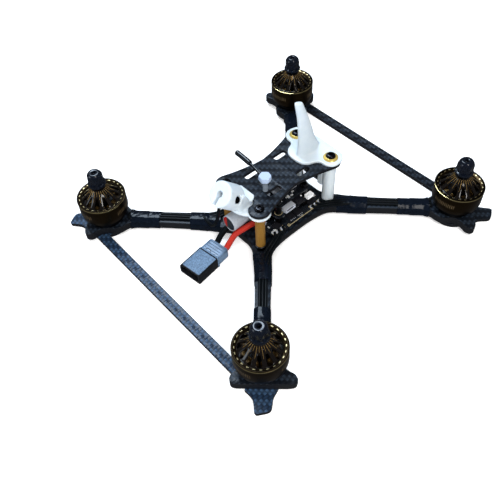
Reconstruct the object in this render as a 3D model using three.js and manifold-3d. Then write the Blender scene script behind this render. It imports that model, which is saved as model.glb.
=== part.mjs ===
// Five-inch racing quadcopter, ready to fly but without propellers or battery.
// Millimetres, +Z up, +Y towards the nose, +X to the craft's right.
// The origin is on the ground, under the middle of the frame.

import * as THREE from 'three';
import { mergeVertices } from 'three/addons/utils/BufferGeometryUtils.js';
import Module from 'manifold-3d';

const wasm = await Module();
wasm.setup();

// ---------------------------------------------------------------- driving dimensions

const MOTOR_X = 68.2;               // motor axis to the middle, sideways
const MOTOR_Y = 76.9;               // motor axis to the middle, fore and aft
const ARM_ANGLE = 43.7 * Math.PI / 180;
const ARM_HALF_WIDTH = 4.3;
const TONGUE_TURN = -2.5 * Math.PI / 180;

const STRUT_THICKNESS = 2.5;
const FRAME_THICKNESS = 5;
const STRUT_OFFSET = 9.2;           // strut centre line, beyond the motor axis
const STRUT_WIDTH = 6.0;
const FRAME_TOP = STRUT_THICKNESS + FRAME_THICKNESS;

const POST_X = 13.5;                // standoff pattern
const POST_Y = 27;
const PLATE_BOTTOM = 37.5;
const PLATE_THICKNESS = 2;
const PLATE_TOP = PLATE_BOTTOM + PLATE_THICKNESS;
const TPU_FLANGE = 1.8;             // thickness of both printed flanges
const M3 = 1.5;                     // radius of a three-millimetre screw
const M3_HOLE = 1.7;
const STACK_HOLE = 10;              // half of the 20 x 20 board pattern

const ESC_BOTTOM = 12;
const ESC_THICKNESS = 1.6;
const ESC_HALF_X = 16.5;
const ESC_HALF_Y = 20;
const FC_BOTTOM = 19.8;
const FC_THICKNESS = 1.2;
const FC_HALF = 13.5;
const VTX_BOTTOM = 27;
const VTX_THICKNESS = 1;

const BELL_RADIUS = 14;             // motor, heights measured from the arm's top
const BELL_BOTTOM = 5.6;
const BELL_RIM = 17.8;
const HUB_TOP = 24.7;
const SHAFT_RADIUS = 2.5;
const NUT_BOTTOM = 26.8;
const NUT_TOP = 35.6;
const MOTOR_SCREW_CIRCLE = 8;

const CAPACITOR = { x: -4.4, z: 18.95, radius: 5, front: -15.8, rear: -34.7 };
const CAMERA = { y: 28.6, z: 25.5, half: 7, tilt: 25 };
const SOCKET = { y: -41.85, z: 51.4, pitch: 45 };
const BOLT = { x: 5.4, y: -15.2 };  // nylon bolt that holds the receiver antenna

// The battery plug lies on the ground; its two leads run up to the speed controller.
const PLUG = { x: -3.8, y: -54.6, turn: 8, length: 24.6, half: 7.6, height: 8.1 };
const LEAD_RADIUS = 1.75;
const RED_ROUTE = [
  [-1.65, -41.65, 4.05], [-1.95, -39.5, 4.3], [-2.1, -36.4, 7.0], [-1.4, -32.6, 11.2],
  [1.5, -28, 15.0], [3.1, -23.4, 16.6], [4.4, -18.9, 16.5], [4.9, -16.4, 15.8],
];
const BLACK_ROUTE = [
  [-8.75, -42.6, 4.05], [-9.05, -40.4, 4.3], [-9.5, -36.8, 7.4], [-9.2, -31.0, 10.8],
  [-9.2, -24.9, 13], [-12, -19.6, 16], [-12.6, -13.2, 15.8],
];

const GAP = 0.3;                    // clearance between pieces that only touch
const RUNNING_GAP = 0.05;           // clearance of a shaft in its bore

// ---------------------------------------------------------------- helpers

const paint = (color, roughness, metalness = 0) =>
  new THREE.MeshStandardMaterial({ color, roughness, metalness });

const looks = {
  carbon: paint(0x23272e, 0.45, 0.1),
  bronze: paint(0x8a6a35, 0.4, 0.8),
  bell: paint(0x3b342b, 0.35, 0.8),
  steel: paint(0x8d9096, 0.3, 1),
  blackSteel: paint(0x1a1b1f, 0.3, 0.8),
  aluminium: paint(0x24242a, 0.4, 0.8),
  copper: paint(0x5a2f1b, 0.45, 0.6),
  tpu: paint(0xe9eef2, 0.55),
  brass: paint(0xc9a13b, 0.3, 0.9),
  board: paint(0x15171c, 0.5),
  blackPlastic: paint(0x16171a, 0.4),
  nylon: paint(0xb9c9e2, 0.5),
  sleeve: paint(0xc9cdd4, 0.35, 0.2),
  connector: paint(0x6f8299, 0.55),
  redSilicone: paint(0xc0281f, 0.5),
  blackSilicone: paint(0x17191d, 0.5),
};

function toSolid(geometry) {
  const bare = geometry.clone();
  bare.deleteAttribute('normal');
  bare.deleteAttribute('uv');
  const merged = mergeVertices(bare, 1e-4);
  const corners = merged.index.array;
  const triangles = [];
  for (let i = 0; i < corners.length; i += 3) {
    const [a, b, c] = [corners[i], corners[i + 1], corners[i + 2]];
    if (a !== b && b !== c && c !== a) triangles.push(a, b, c);
  }
  return new wasm.Manifold(new wasm.Mesh({
    numProp: 3,
    vertProperties: new Float32Array(merged.getAttribute('position').array),
    triVerts: new Uint32Array(triangles),
  }));
}

function toGeometry(solid) {
  const mesh = solid.getMesh();
  const geometry = new THREE.BufferGeometry();
  geometry.setAttribute('position', new THREE.BufferAttribute(mesh.vertProperties, 3));
  geometry.setIndex(new THREE.BufferAttribute(mesh.triVerts, 1));
  geometry.computeVertexNormals();
  return geometry;
}

const join = (...pieces) => pieces.reduce((whole, piece) => whole.add(piece));
const cut = (body, ...tools) => tools.reduce((rest, tool) => rest.subtract(tool), body);

// A flat outline of [x, y] points, with holes of { x, y, radius }, from z0 up to z1.
function slab(outline, z0, z1, holes = []) {
  const shape = new THREE.Shape(outline.map(([x, y]) => new THREE.Vector2(x, y)));
  for (const { x, y, radius, sides = 16 } of holes) {
    shape.holes.push(new THREE.Path(ring(x, y, radius, sides)));
  }
  const geometry = new THREE.ExtrudeGeometry(shape, { depth: z1 - z0, bevelEnabled: false });
  return toSolid(geometry.translate(0, 0, z0));
}

function ring(x, y, radius, sides) {
  return Array.from({ length: sides }, (_, i) => {
    const angle = 2 * Math.PI * (i + 0.5) / sides;
    return new THREE.Vector2(x + radius * Math.cos(angle), y + radius * Math.sin(angle));
  });
}

// A profile of [radius, z] points turned about Z; it runs upwards on the outside.
function turned(profile, sides = 24) {
  const points = profile.map(([r, z]) => new THREE.Vector2(r, z));
  return toSolid(new THREE.LatheGeometry(points, sides).rotateX(Math.PI / 2));
}

// A tube wall between two radii.
const sleeve = (inner, outer, z0, z1, sides = 24) =>
  turned([[inner, z0], [outer, z0], [outer, z1], [inner, z1], [inner, z0]], sides);

const rod = (radius, z0, z1, sides = 16) =>
  turned([[0, z0], [radius, z0], [radius, z1], [0, z1]], sides);

// A prism along X from an outline of [y, z] points.
const upright = (outline, half) => slab(outline, -half, half).rotate([90, 0, 90]);

const block = (x0, x1, y0, y1, z0, z1) =>
  toSolid(new THREE.BoxGeometry(x1 - x0, y1 - y0, z1 - z0)
    .translate((x0 + x1) / 2, (y0 + y1) / 2, (z0 + z1) / 2));

// A closed skin over rings of equal length, each turning left as seen from the ring after it.
function skin(rings) {
  const count = rings[0].length;
  const last = (rings.length - 1) * count;
  const index = [];
  for (let i = 0; i < count; i++) {
    const j = (i + 1) % count;
    for (let k = 0; k < last; k += count) {
      index.push(k + i, k + j, k + count + j, k + i, k + count + j, k + count + i);
    }
    if (i > 0 && i < count - 1) index.push(0, i + 1, i, last, last + i, last + i + 1);
  }
  const geometry = new THREE.BufferGeometry();
  geometry.setAttribute('position', new THREE.Float32BufferAttribute(rings.flat(2), 3));
  geometry.setIndex(index);
  return toSolid(geometry);
}

// A smooth line through [x, y] points.
const smooth = (points, steps = 2) =>
  new THREE.SplineCurve(points.map(([x, y]) => new THREE.Vector2(x, y)))
    .getPoints(steps * (points.length - 1)).map((p) => [p.x, p.y]);

const arc = (x, y, radius, from, to, steps) =>
  Array.from({ length: steps + 1 }, (_, i) => {
    const angle = (from + (to - from) * i / steps) * Math.PI / 180;
    return [x + radius * Math.cos(angle), y + radius * Math.sin(angle)];
  });

// The quarter outline runs from the +Y axis to the +X axis; the other three mirror it.
function fourWay(quarter) {
  const mirrored = (sx, sy) => quarter.map(([x, y]) => [sx * x, sy * y]);
  const whole = [
    ...mirrored(1, 1), ...mirrored(1, -1).reverse(),
    ...mirrored(-1, -1), ...mirrored(-1, 1).reverse(),
  ];
  return whole.filter((p, i) => {
    const next = whole[(i + 1) % whole.length];
    return Math.hypot(next[0] - p[0], next[1] - p[1]) > 0.01;
  });
}

// Arm coordinates: 'out' along the arm from the motor axis, 'side' towards the nose.
function onArm(out, side, turn = 0) {
  const angle = ARM_ANGLE + turn;
  return [
    MOTOR_X + out * Math.cos(angle) - side * Math.sin(angle),
    MOTOR_Y + out * Math.sin(angle) + side * Math.cos(angle),
  ];
}

const craft = new THREE.Group();

function addPart(name, solid, look, parent = craft) {
  const mesh = new THREE.Mesh(toGeometry(solid), look);
  mesh.name = name;
  parent.add(mesh);
  return mesh;
}

const corners = [
  { name: 'front_left', x: -1, y: 1 },
  { name: 'front_right', x: 1, y: 1 },
  { name: 'rear_left', x: -1, y: -1 },
  { name: 'rear_right', x: 1, y: -1 },
];
const sides = [{ name: 'left', x: -1 }, { name: 'right', x: 1 }];
const mirrorX = (solid, sign) => (sign > 0 ? solid : solid.mirror([1, 0, 0]));
const quarterTurn = (solid, { x, y }) => {
  const acrossX = x > 0 ? solid : solid.mirror([1, 0, 0]);
  return y > 0 ? acrossX : acrossX.mirror([0, 1, 0]);
};

// ---------------------------------------------------------------- carbon frame

// Half of the two-horned motor pad at the end of each arm, from the arm to its middle.
const CLAW_HALF = [
  [-17.5, ARM_HALF_WIDTH], [-13.6, 5.6], [-10.2, 8.7], [-6.5, 10.8], [-2.3, 10.1], [1.0, 11.4],
  [3.4, 13.8], [5.2, 16.7], [7.6, 18.1], [9.8, 17.1], [10.7, 14.2], [10.8, 9.5], [10.8, 5], [10.8, 0],
];
const HORN_ROOT = 9;                // the horn nearer the nose or tail is shorter from here
const SHORT_HORN = 0.7;

function frameOutline() {
  const claw = smooth(CLAW_HALF, 1);
  const shorter = (side) => (side > HORN_ROOT ? HORN_ROOT + (side - HORN_ROOT) * SHORT_HORN : side);
  const outerEdge = claw.map(([out, side]) => onArm(out, shorter(side)));
  const innerEdge = claw.map(([out, side]) => onArm(out, -side)).reverse().slice(1);
  const nose = smooth([[0, 28.6], [5, 28.7], [9.3, 30.2], [13.6, 33.4], [19, 37.3], [25, 42.0]], 1);
  const waist = smooth([[26.5, 30.9], [21.6, 26.2], [18.2, 21.8], [16.6, 15], [16, 7], [15.9, 0]], 2);
  return fourWay([...nose, ...outerEdge, ...innerEdge, ...waist]);
}

function makeFrame() {
  const holes = [];
  for (const { x, y } of corners) {
    holes.push({ x: x * MOTOR_X, y: y * MOTOR_Y, radius: 3.2, sides: 12 });
    for (let i = 0; i < 4; i++) {
      const [dx, dy] = motorScrew(i);
      holes.push({ x: x * (MOTOR_X + dx), y: y * (MOTOR_Y + dy), radius: M3_HOLE, sides: 8 });
    }
    holes.push({ x: x * POST_X, y: y * POST_Y, radius: M3_HOLE, sides: 8 });
    holes.push({ x: x * STACK_HOLE, y: y * STACK_HOLE, radius: 1.3, sides: 8 });
  }
  addPart('frame_plate', slab(frameOutline(), STRUT_THICKNESS, FRAME_TOP, holes), looks.carbon);
}

function motorScrew(i) {
  const angle = ARM_ANGLE + Math.PI / 4 + i * Math.PI / 2;
  return [MOTOR_SCREW_CIRCLE * Math.cos(angle), MOTOR_SCREW_CIRCLE * Math.sin(angle)];
}

// One flat bar joins the two motor pads of an end and carries a tongue past each of them.
function strutHalf() {
  const barY = MOTOR_Y + STRUT_OFFSET;
  const bar = block(-0.01, MOTOR_X, barY - STRUT_WIDTH / 2, barY + STRUT_WIDTH / 2, 0, STRUT_THICKNESS);
  const pad = rod(11, 0, STRUT_THICKNESS, 24).translate([MOTOR_X, MOTOR_Y, 0]);
  const tongue = smooth([[11, 8.4], [15, 4.9], [18.8, 4.1], [22.4, 3.9], [23.6, 3.0], [22.6, -2.4],
    [21.4, -4.2], [18.6, -4.9], [15, -5.6], [10, -8.2]], 1)
    .map(([out, side]) => onArm(out, side, TONGUE_TURN));
  const root = [onArm(2, -6), onArm(2, 6)];
  const tip = slab([...root, ...tongue].reverse(), 0, STRUT_THICKNESS);
  const holes = [rod(3.2, -1, 4, 12).translate([MOTOR_X, MOTOR_Y, 0])];
  for (let i = 0; i < 4; i++) {
    const [dx, dy] = motorScrew(i);
    holes.push(rod(M3_HOLE, -1, 4, 8).translate([MOTOR_X + dx, MOTOR_Y + dy, 0]));
  }
  return cut(join(bar, pad, tip), ...holes);
}

function makeStruts() {
  const half = strutHalf();
  const front = join(half, half.mirror([1, 0, 0]));
  addPart('front_strut', front, looks.carbon);
  addPart('rear_strut', front.mirror([0, 1, 0]), looks.carbon);
}

function makeTopPlate() {
  const outline = fourWay([
    ...smooth([[0, 24.4], [5.5, 24.6], [8.2, 26.6], [8.9, 30.5]], 2),
    ...arc(POST_X, POST_Y, 5.9, 128, -16, 9),
    ...smooth([[18.3, 22.5], [16.9, 18.2], [15.4, 12], [14.1, 6], [13.4, 0]], 2),
  ]);
  const holes = [];
  for (const { x, y } of corners) {
    holes.push({ x: x * POST_X, y: y * POST_Y, radius: M3_HOLE, sides: 12 });
  }
  holes.push({ ...BOLT, radius: 1.8, sides: 12 });
  const slots = [];
  for (const { x } of sides) {
    for (const [y0, y1] of [[5, 14], [-17, -7.5]]) {
      slots.push(mirrorX(block(7.3, 11, y0, y1, PLATE_BOTTOM - 1, PLATE_TOP + 1), x));
    }
  }
  const plate = slab(outline, PLATE_BOTTOM, PLATE_TOP, holes);
  addPart('top_plate', cut(plate, ...slots), looks.carbon);
}

// ---------------------------------------------------------------- motors

function bellSolid() {
  const wall = turned([
    [12.1, BELL_BOTTOM], [13.3, BELL_BOTTOM], [BELL_RADIUS, 8.5], [BELL_RADIUS, BELL_RIM],
    [12.9, BELL_RIM], [12.3, 16.6], [11.0, 16.6], [11.0, 15.2], [12.1, 15.0], [12.1, BELL_BOTTOM],
  ], 24);
  const hub = turned([
    [SHAFT_RADIUS + RUNNING_GAP, 14.4], [4.6, 14.4], [6.2, 20.5], [6.3, 21], [4, HUB_TOP],
    [SHAFT_RADIUS + RUNNING_GAP, HUB_TOP], [SHAFT_RADIUS + RUNNING_GAP, 14.4],
  ], 16);
  const spoke = block(0, 8.8, -0.8, 0.8, -1, 0).rotate([0, 42.2, 0]).translate([5, 0, 22.2]);
  const spokes = Array.from({ length: 12 }, (_, i) => spoke.rotate([0, 0, i * 30]));
  return join(wall, hub, ...spokes);
}

function statorSolid() {
  const outline = [];
  const teeth = 12;
  const pitch = 2 * Math.PI / teeth;
  const profile = [[-0.09, 6.6], [-0.13, 9.9], [-0.2, 11.3], [0.2, 11.3], [0.13, 9.9], [0.09, 6.6]];
  for (let i = 0; i < teeth; i++) {
    for (const [swing, radius] of profile) {
      const angle = i * pitch + swing * (radius > 10 ? 1 : 1.6);
      outline.push([radius * Math.cos(angle), radius * Math.sin(angle)]);
    }
  }
  return slab(outline, 4.8, 13.4, [{ x: 0, y: 0, radius: 4.7, sides: 16 }]);
}

function motorBaseSolid() {
  return turned([
    [SHAFT_RADIUS + GAP, 0], [10, 0], [9.6, 2.2], [4.3, 3.4], [4.3, 13.8],
    [SHAFT_RADIUS + GAP, 13.8], [SHAFT_RADIUS + GAP, 0],
  ], 24);
}

function nutSolid() {
  const hex = slab(ring(0, 0, 4.6, 6).map((p) => [p.x, p.y]), NUT_BOTTOM + 0.6, NUT_TOP);
  const dome = turned([[0, NUT_BOTTOM], [4.7, NUT_BOTTOM], [4.7, 32.6], [4.2, 34.3], [3.2, NUT_TOP],
    [0, NUT_TOP]], 16);
  const flange = turned([[0, NUT_BOTTOM], [5.2, NUT_BOTTOM], [5.2, 27.8], [4.4, 28.9], [0, 28.9]], 16);
  const bore = rod(SHAFT_RADIUS + RUNNING_GAP, NUT_BOTTOM - 1, 34.4, 12);
  const eye = rod(1.2, 34, NUT_TOP + 1, 8);
  return cut(join(hex.intersect(dome), flange), bore, eye);
}

function makeMotors() {
  const bell = bellSolid();
  const stator = statorSolid();
  const base = motorBaseSolid();
  const shaft = rod(SHAFT_RADIUS, 0.4, 34.2, 12);
  const nut = nutSolid();
  for (const { name, x, y } of corners) {
    const motor = new THREE.Group();
    motor.position.set(x * MOTOR_X, y * MOTOR_Y, FRAME_TOP);
    addPart(`motor_base_${name}`, base, looks.aluminium, motor);
    addPart(`stator_${name}`, stator, looks.copper, motor);
    addPart(`bell_${name}`, bell, looks.bell, motor);
    addPart(`shaft_${name}`, shaft, looks.steel, motor);
    addPart(`prop_nut_${name}`, nut, looks.blackSteel, motor);
    craft.add(motor);
  }
}

// ---------------------------------------------------------------- posts, screws, washers

function makePosts() {
  for (const { name, x, y } of corners) {
    const front = y > 0;
    const top = front ? PLATE_BOTTOM : PLATE_BOTTOM - TPU_FLANGE;
    const post = sleeve(M3_HOLE, front ? 2.5 : 2.75, FRAME_TOP, top, 16);
    const look = front ? looks.blackSteel : looks.bronze;
    addPart(`standoff_${name}`, post.translate([x * POST_X, y * POST_Y, 0]), look);
  }
}

function screwSolid(under, reach) {
  return join(
    turned([[0, under], [2.8, under], [2.8, under + 0.7], [1.9, under + 1.5], [0, under + 1.5]], 14),
    rod(M3 - 0.1, under - reach, under + 0.5, 8),
  ).subtract(slab(ring(0, 0, 1.15, 6).map((p) => [p.x, p.y]), under + 0.5, under + 2));
}

function makeTopScrews() {
  const washerTop = PLATE_TOP + TPU_FLANGE + 0.9;
  for (const { name, x, y } of corners) {
    const under = y > 0 ? washerTop : PLATE_TOP;
    const screw = screwSolid(under, 11).translate([x * POST_X, y * POST_Y, 0]);
    addPart(`top_screw_${name}`, screw, looks.blackSteel);
  }
  for (const { name, x } of sides) {
    const washer = turned([[M3_HOLE, PLATE_TOP + TPU_FLANGE], [4.2, PLATE_TOP + TPU_FLANGE],
      [4.2, PLATE_TOP + TPU_FLANGE + 0.3], [3.1, washerTop], [M3_HOLE, washerTop],
      [M3_HOLE, PLATE_TOP + TPU_FLANGE]], 24);
    addPart(`brass_washer_${name}`, washer.translate([x * POST_X, POST_Y, 0]), looks.brass);
  }
}

// ---------------------------------------------------------------- printed mounts

// A wing on the nose: a bow-tie flange under the two front screws and a raked fin.
function makeFrontFin() {
  const z0 = PLATE_TOP;
  const z1 = PLATE_TOP + TPU_FLANGE;
  const half = [
    ...smooth([[0, 34.8], [6, 34.5], [12, 34.3], [16, 33.6], [18.6, 31.6]], 1),
    ...arc(POST_X, POST_Y, 6.3, 25, -78, 7),
    ...smooth([[11.4, 20.3], [9.6, 18.2], [8.4, 15.2], [5.6, 12.6], [2.4, 11.7], [0, 11.6]], 2),
  ];
  const outline = [...half, ...half.map(([x, y]) => [-x, y]).reverse().slice(1, -1)];
  const holes = sides.map(({ x }) => ({ x: x * POST_X, y: POST_Y, radius: M3_HOLE, sides: 12 }));
  const sections = [
    { z: z0 + 0.5, rear: 13.4, nose: 32.4, half: 3.8 },
    { z: z1 + 1.5, rear: 14.3, nose: 30.4, half: 3.0 },
    { z: 49, rear: 14.8, nose: 27.4, half: 2.5 },
    { z: 57, rear: 14.6, nose: 24.7, half: 2.2 },
    { z: 66, rear: 13.8, nose: 21.6, half: 1.9 },
    { z: 76.6, rear: 11.8, nose: 17.4, half: 1.6, slope: 0.2 },
    { z: 78.6, rear: 11.4, nose: 16.6, half: 1.1, slope: 0.36 },
  ];
  addPart('front_fin_mount', join(slab(outline, z0, z1, holes), lofted(sections, 16)), looks.tpu);
}

// Stacked ellipses, each given by its rear and nose points, half thickness and fall to the nose.
const lofted = (sections, steps) => skin(sections.map(({ z, rear, nose, half, slope = 0 }) =>
  ring(0, 0, 1, steps).map((p) => {
    const reach = (nose - rear) / 2 * p.y;
    return [half * p.x, (rear + nose) / 2 + reach, z - slope * reach];
  })));

// The rear mount lies under the top plate, wraps its edge and holds an antenna socket.
function makeRearMount() {
  const z0 = PLATE_BOTTOM - TPU_FLANGE;
  const half = [
    ...smooth([[0, 36.6], [5, 36.2], [9.4, 34.2]], 1),
    ...arc(POST_X, POST_Y, 6.3, 118, -110, 10),
    ...smooth([[9.0, 19.4], [4, 20.2], [0, 20.4]], 1),
  ].map(([x, y]) => [x, -y]);
  const outline = [...half, ...half.map(([x, y]) => [-x, y]).reverse().slice(1, -1)].reverse();
  const holes = sides.map(({ x }) => ({ x: x * POST_X, y: -POST_Y, radius: M3_HOLE, sides: 12 }));
  const flange = slab(outline, z0, PLATE_BOTTOM, holes);
  const rear = upright([[-35.4, 36.5], [-25.4 - GAP, 36.5], [-25.4 - GAP, 40.9], [-27.4, 40.9],
    [-28.6, 43.4], [-30.4, 46.8], [-33, 47.6], [-35.4, 45]], 6.8);
  const tab = slab([[-6.8, -30], [6.8, -30], [6.8, -27.7], [7.4, -26.4], [6.4, -24.3], [5.1, -23],
    [-5.1, -23], [-6.4, -24.3], [-7.4, -26.4], [-6.8, -27.7]], PLATE_TOP, PLATE_TOP + 1.6);
  const place = (solid) => solid.rotate([90 - SOCKET.pitch, 0, 0]).translate([0, SOCKET.y, SOCKET.z]);
  const barrel = place(turned([[0, -13.5], [6.6, -13.5], [7.2, -12], [7.2, -0.6], [6.7, 0], [0, 0]], 28));
  const bore = place(rod(2.1, -11, 1, 16));
  const slot = place(block(-1.3, 1.3, -9, 0, -9, 1));
  const screwHole = rod(1.3, 1.5, 8, 10).rotate([0, 90, 0]).translate([0, -35.1, 47.2]);
  const plateRoom = block(-20, 20, -25.4 - GAP, 0, PLATE_BOTTOM, PLATE_TOP);
  const body = cut(join(flange, rear, tab, barrel), bore, slot, screwHole, plateRoom);
  addPart('rear_socket_mount', body, looks.tpu);
}

// Printed sleeves on the front posts; each has a cheek that carries the camera.
function makeCameraCheeks() {
  for (const { name, x } of sides) {
    const tube = sleeve(2.8, 3.6, 9.4, PLATE_BOTTOM - GAP, 20).translate([POST_X, POST_Y, 0]);
    const cheek = block(CAMERA.half + 0.4, 10.4, POST_Y - 3, POST_Y + 5, CAMERA.z - 6, CAMERA.z + 6);
    const pivot = rod(1.35, 6, 12, 12).rotate([0, 90, 0]).translate([0, CAMERA.y, CAMERA.z]);
    const bore = rod(2.8, 5, 40, 20).translate([POST_X, POST_Y, 0]);
    const body = cut(join(tube, cheek), pivot, bore);
    addPart(`camera_cheek_${name}`, mirrorX(body, x), looks.tpu);
  }
}

function makeCamera() {
  const camera = new THREE.Group();
  camera.position.set(0, CAMERA.y, CAMERA.z);
  camera.rotation.x = CAMERA.tilt * Math.PI / 180;
  const h = CAMERA.half;
  const pin = rod(1.05, -9.6, 9.6, 12).rotate([0, 90, 0]);
  const housing = join(block(-h, h, -5, 3.5, -h, h), rod(5.4, 0, 5, 24).rotate([-90, 0, 0]), pin);
  addPart('camera_body', housing, looks.blackPlastic, camera);
  const lens = turned([[0, 5], [4.4, 5], [4.4, 6], [5.2, 6.2], [5.2, 9], [4.2, 10.5], [2.4, 10.2],
    [0, 11.2]], 20).rotate([-90, 0, 0]);
  addPart('camera_lens', lens, looks.blackPlastic, camera);
  craft.add(camera);
}

// ---------------------------------------------------------------- electronics

function boardSolid(halfX, halfY, bottom, thickness) {
  const c = 2;
  const outline = [[-halfX + c, -halfY], [halfX - c, -halfY], [halfX, -halfY + c],
    [halfX, halfY - c], [halfX - c, halfY], [-halfX + c, halfY], [-halfX, halfY - c],
    [-halfX, -halfY + c]];
  const holes = corners.map(({ x, y }) =>
    ({ x: x * STACK_HOLE, y: y * STACK_HOLE, radius: 1.3, sides: 10 }));
  return slab(outline, bottom, bottom + thickness, holes);
}

function makeStack() {
  const esc = boardSolid(ESC_HALF_X, ESC_HALF_Y, ESC_BOTTOM, ESC_THICKNESS);
  const escTop = ESC_BOTTOM + ESC_THICKNESS;
  const heatSpreader = block(-6.5, 6.5, -14.5, 14.5, escTop - 0.5, escTop + 1.2);
  addPart('esc_board', join(esc, heatSpreader), looks.board);

  const fc = boardSolid(FC_HALF, FC_HALF, FC_BOTTOM, FC_THICKNESS);
  const fcTop = FC_BOTTOM + FC_THICKNESS;
  const processor = block(-3.5, 3.5, -3.5, 3.5, fcTop - 0.5, fcTop + 1);
  const usb = block(FC_HALF - 5, FC_HALF + 0.6, -7.6, -0.2, fcTop - 0.4, fcTop + 2.6);
  addPart('flight_controller', join(fc, processor, usb), looks.board);

  const vtx = boardSolid(12.5, 12.5, VTX_BOTTOM, VTX_THICKNESS);
  const shield = block(-7.5, 7.5, -7, 7, VTX_BOTTOM + 0.5, VTX_BOTTOM + 3.6);
  addPart('video_transmitter', join(vtx, shield), looks.board);

  for (const { name, x, y } of corners) {
    const bolt = turned([
      [0, 0.9], [1.9, 0.9], [1.9, STRUT_THICKNESS], [1, STRUT_THICKNESS], [1, FRAME_TOP],
      [2, FRAME_TOP], [2, ESC_BOTTOM], [1, ESC_BOTTOM], [1, escTop], [2, escTop],
      [2, FC_BOTTOM], [1, FC_BOTTOM], [1, fcTop], [2, fcTop], [2, VTX_BOTTOM],
      [1, VTX_BOTTOM], [1, VTX_BOTTOM + VTX_THICKNESS], [2, VTX_BOTTOM + VTX_THICKNESS],
      [2, 30], [0, 30],
    ], 8);
    addPart(`stack_bolt_${name}`, bolt.translate([x * STACK_HOLE, y * STACK_HOLE, 0]), looks.steel);
  }
}

function makeCapacitor() {
  const { x, z, radius, front, rear } = CAPACITOR;
  const length = front - rear;
  const can = turned([[0, 0], [radius - 0.4, 0], [radius, 0.4], [radius, length - 2.4],
    [radius - 0.5, length - 1.9], [radius, length - 1.4], [radius, length - 0.3],
    [radius - 0.4, length], [0, length]], 18);
  addPart('capacitor', can.rotate([-90, 0, 0]).translate([x, rear, z]), looks.sleeve);
}

// A nylon bolt stands on the top plate and holds one end of the receiver antenna.
function makeReceiverAntenna() {
  const bolt = join(
    rod(1.5, PLATE_BOTTOM - 2, 48, 12),
    slab(ring(0, 0, 3.35, 6).map((p) => [p.x, p.y]), 47.6, 50.1),
    turned([[0, 35], [2.6, 35], [2.6, PLATE_BOTTOM - GAP], [0, PLATE_BOTTOM - GAP]], 6),
  ).translate([BOLT.x, BOLT.y, 0]);
  addPart('nylon_bolt', bolt, looks.nylon);
  const route = [[BOLT.x - 1.5 - GAP, BOLT.y + 0.6, 46.6], [-2, -13.4, 46.6], [-10.2, -12.2, 46.8],
    [-21.6, -12, 47.3]];
  const wire = tube(route, 0.75, 14, 8);
  const whip = tube([[-9.6, -12.25, 46.8], [-15, -12.1, 47.05], [-21.6, -12, 47.3]], 1.55, 6, 10);
  addPart('receiver_antenna', join(wire, whip), looks.blackPlastic);
}

// A round tube along a smooth line through [x, y, z] points.
function tube(points, radius, steps, sections) {
  const line = new THREE.CatmullRomCurve3(points.map((p) => new THREE.Vector3(...p)));
  const shape = new THREE.Shape(ring(0, 0, radius, sections));
  return toSolid(new THREE.ExtrudeGeometry(shape, { steps, extrudePath: line, bevelEnabled: false }));
}

// Three flat motor wires run from the speed controller along each arm to its motor.
function makeMotorWires() {
  const root = [[18.4, 11.5, 15.3], [19.3, 17, 14.2], [19.3, 22.5, 11.4], [20.8, 28.4, 9.3]];
  const along = [-55, -48, -36, -24, -12.2].map((out) => [...onArm(out, 0), 8.75]);
  const line = new THREE.CatmullRomCurve3([...root, ...along].map((p) => new THREE.Vector3(...p)));
  const section = [[-2.6, -0.4], [-2.2, -0.8], [2.2, -0.8], [2.6, -0.4], [2.6, 0.4], [2.2, 0.8],
    [-2.2, 0.8], [-2.6, 0.4]];
  const steps = 15;
  const rings = Array.from({ length: steps + 1 }, (_, i) => {
    const centre = line.getPointAt(i / steps);
    const ahead = line.getTangentAt(i / steps);
    const left = new THREE.Vector3(-ahead.y, ahead.x, 0).normalize();
    const up = ahead.clone().cross(left);
    return section.map(([wide, high]) =>
      centre.clone().addScaledVector(left, -wide).addScaledVector(up, high).toArray());
  });
  const strip = skin(rings.reverse());
  for (const corner of corners) {
    addPart(`motor_wires_${corner.name}`, quarterTurn(strip, corner), looks.blackSilicone);
  }
}

// ---------------------------------------------------------------- power lead

// The battery plug lies on the ground behind the frame, two wires into its cap.
function makePowerLead() {
  const plug = new THREE.Group();
  plug.position.set(PLUG.x, PLUG.y, 0);
  plug.rotation.z = PLUG.turn * Math.PI / 180;
  const h = PLUG.half;
  const section = (inset) => [[-h + inset, inset], [h - inset, inset], [h - inset, PLUG.height - inset],
    [-h + 2.4, PLUG.height - inset], [-h + inset, PLUG.height - 2.4]];
  const body = slab(section(0), -3.4, PLUG.length / 2).rotate([90, 0, 0]);
  const cap = slab(section(0.8), -PLUG.length / 2, -3).rotate([90, 0, 0]);
  const mouth = block(-h + 1.2, h - 1.2, -PLUG.length / 2 - 1, -PLUG.length / 2 + 8, 1.2,
    PLUG.height - 2.6);
  const pins = [-3.6, 3.6].map((x) =>
    rod(1.75, -PLUG.length / 2 + 0.6, -PLUG.length / 2 + 9, 12).rotate([-90, 0, 0])
      .translate([x, 0, PLUG.height / 2]));
  addPart('battery_plug', join(cut(join(body, cap), mouth), ...pins), looks.connector, plug);
  craft.add(plug);
  addPart('red_lead', tube(RED_ROUTE, LEAD_RADIUS, 12, 8), looks.redSilicone);
  addPart('black_lead', tube(BLACK_ROUTE, LEAD_RADIUS, 12, 8), looks.blackSilicone);
}

makeFrame();
makeStruts();
makeMotors();
makeTopPlate();
makePosts();
makeTopScrews();
makeFrontFin();
makeRearMount();
makeCameraCheeks();
makeCamera();
makeStack();
makeCapacitor();
makeReceiverAntenna();
makeMotorWires();
makePowerLead();

export default craft;
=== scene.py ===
"""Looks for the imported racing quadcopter: detailed pieces and materials around the CAD frame.

Shapes are given in millimetres and scaled to metres when they become objects.
"""

import random
from math import cos, hypot, pi, radians, sin

import bmesh
import bpy
from mathutils import Matrix, Vector, noise


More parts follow.
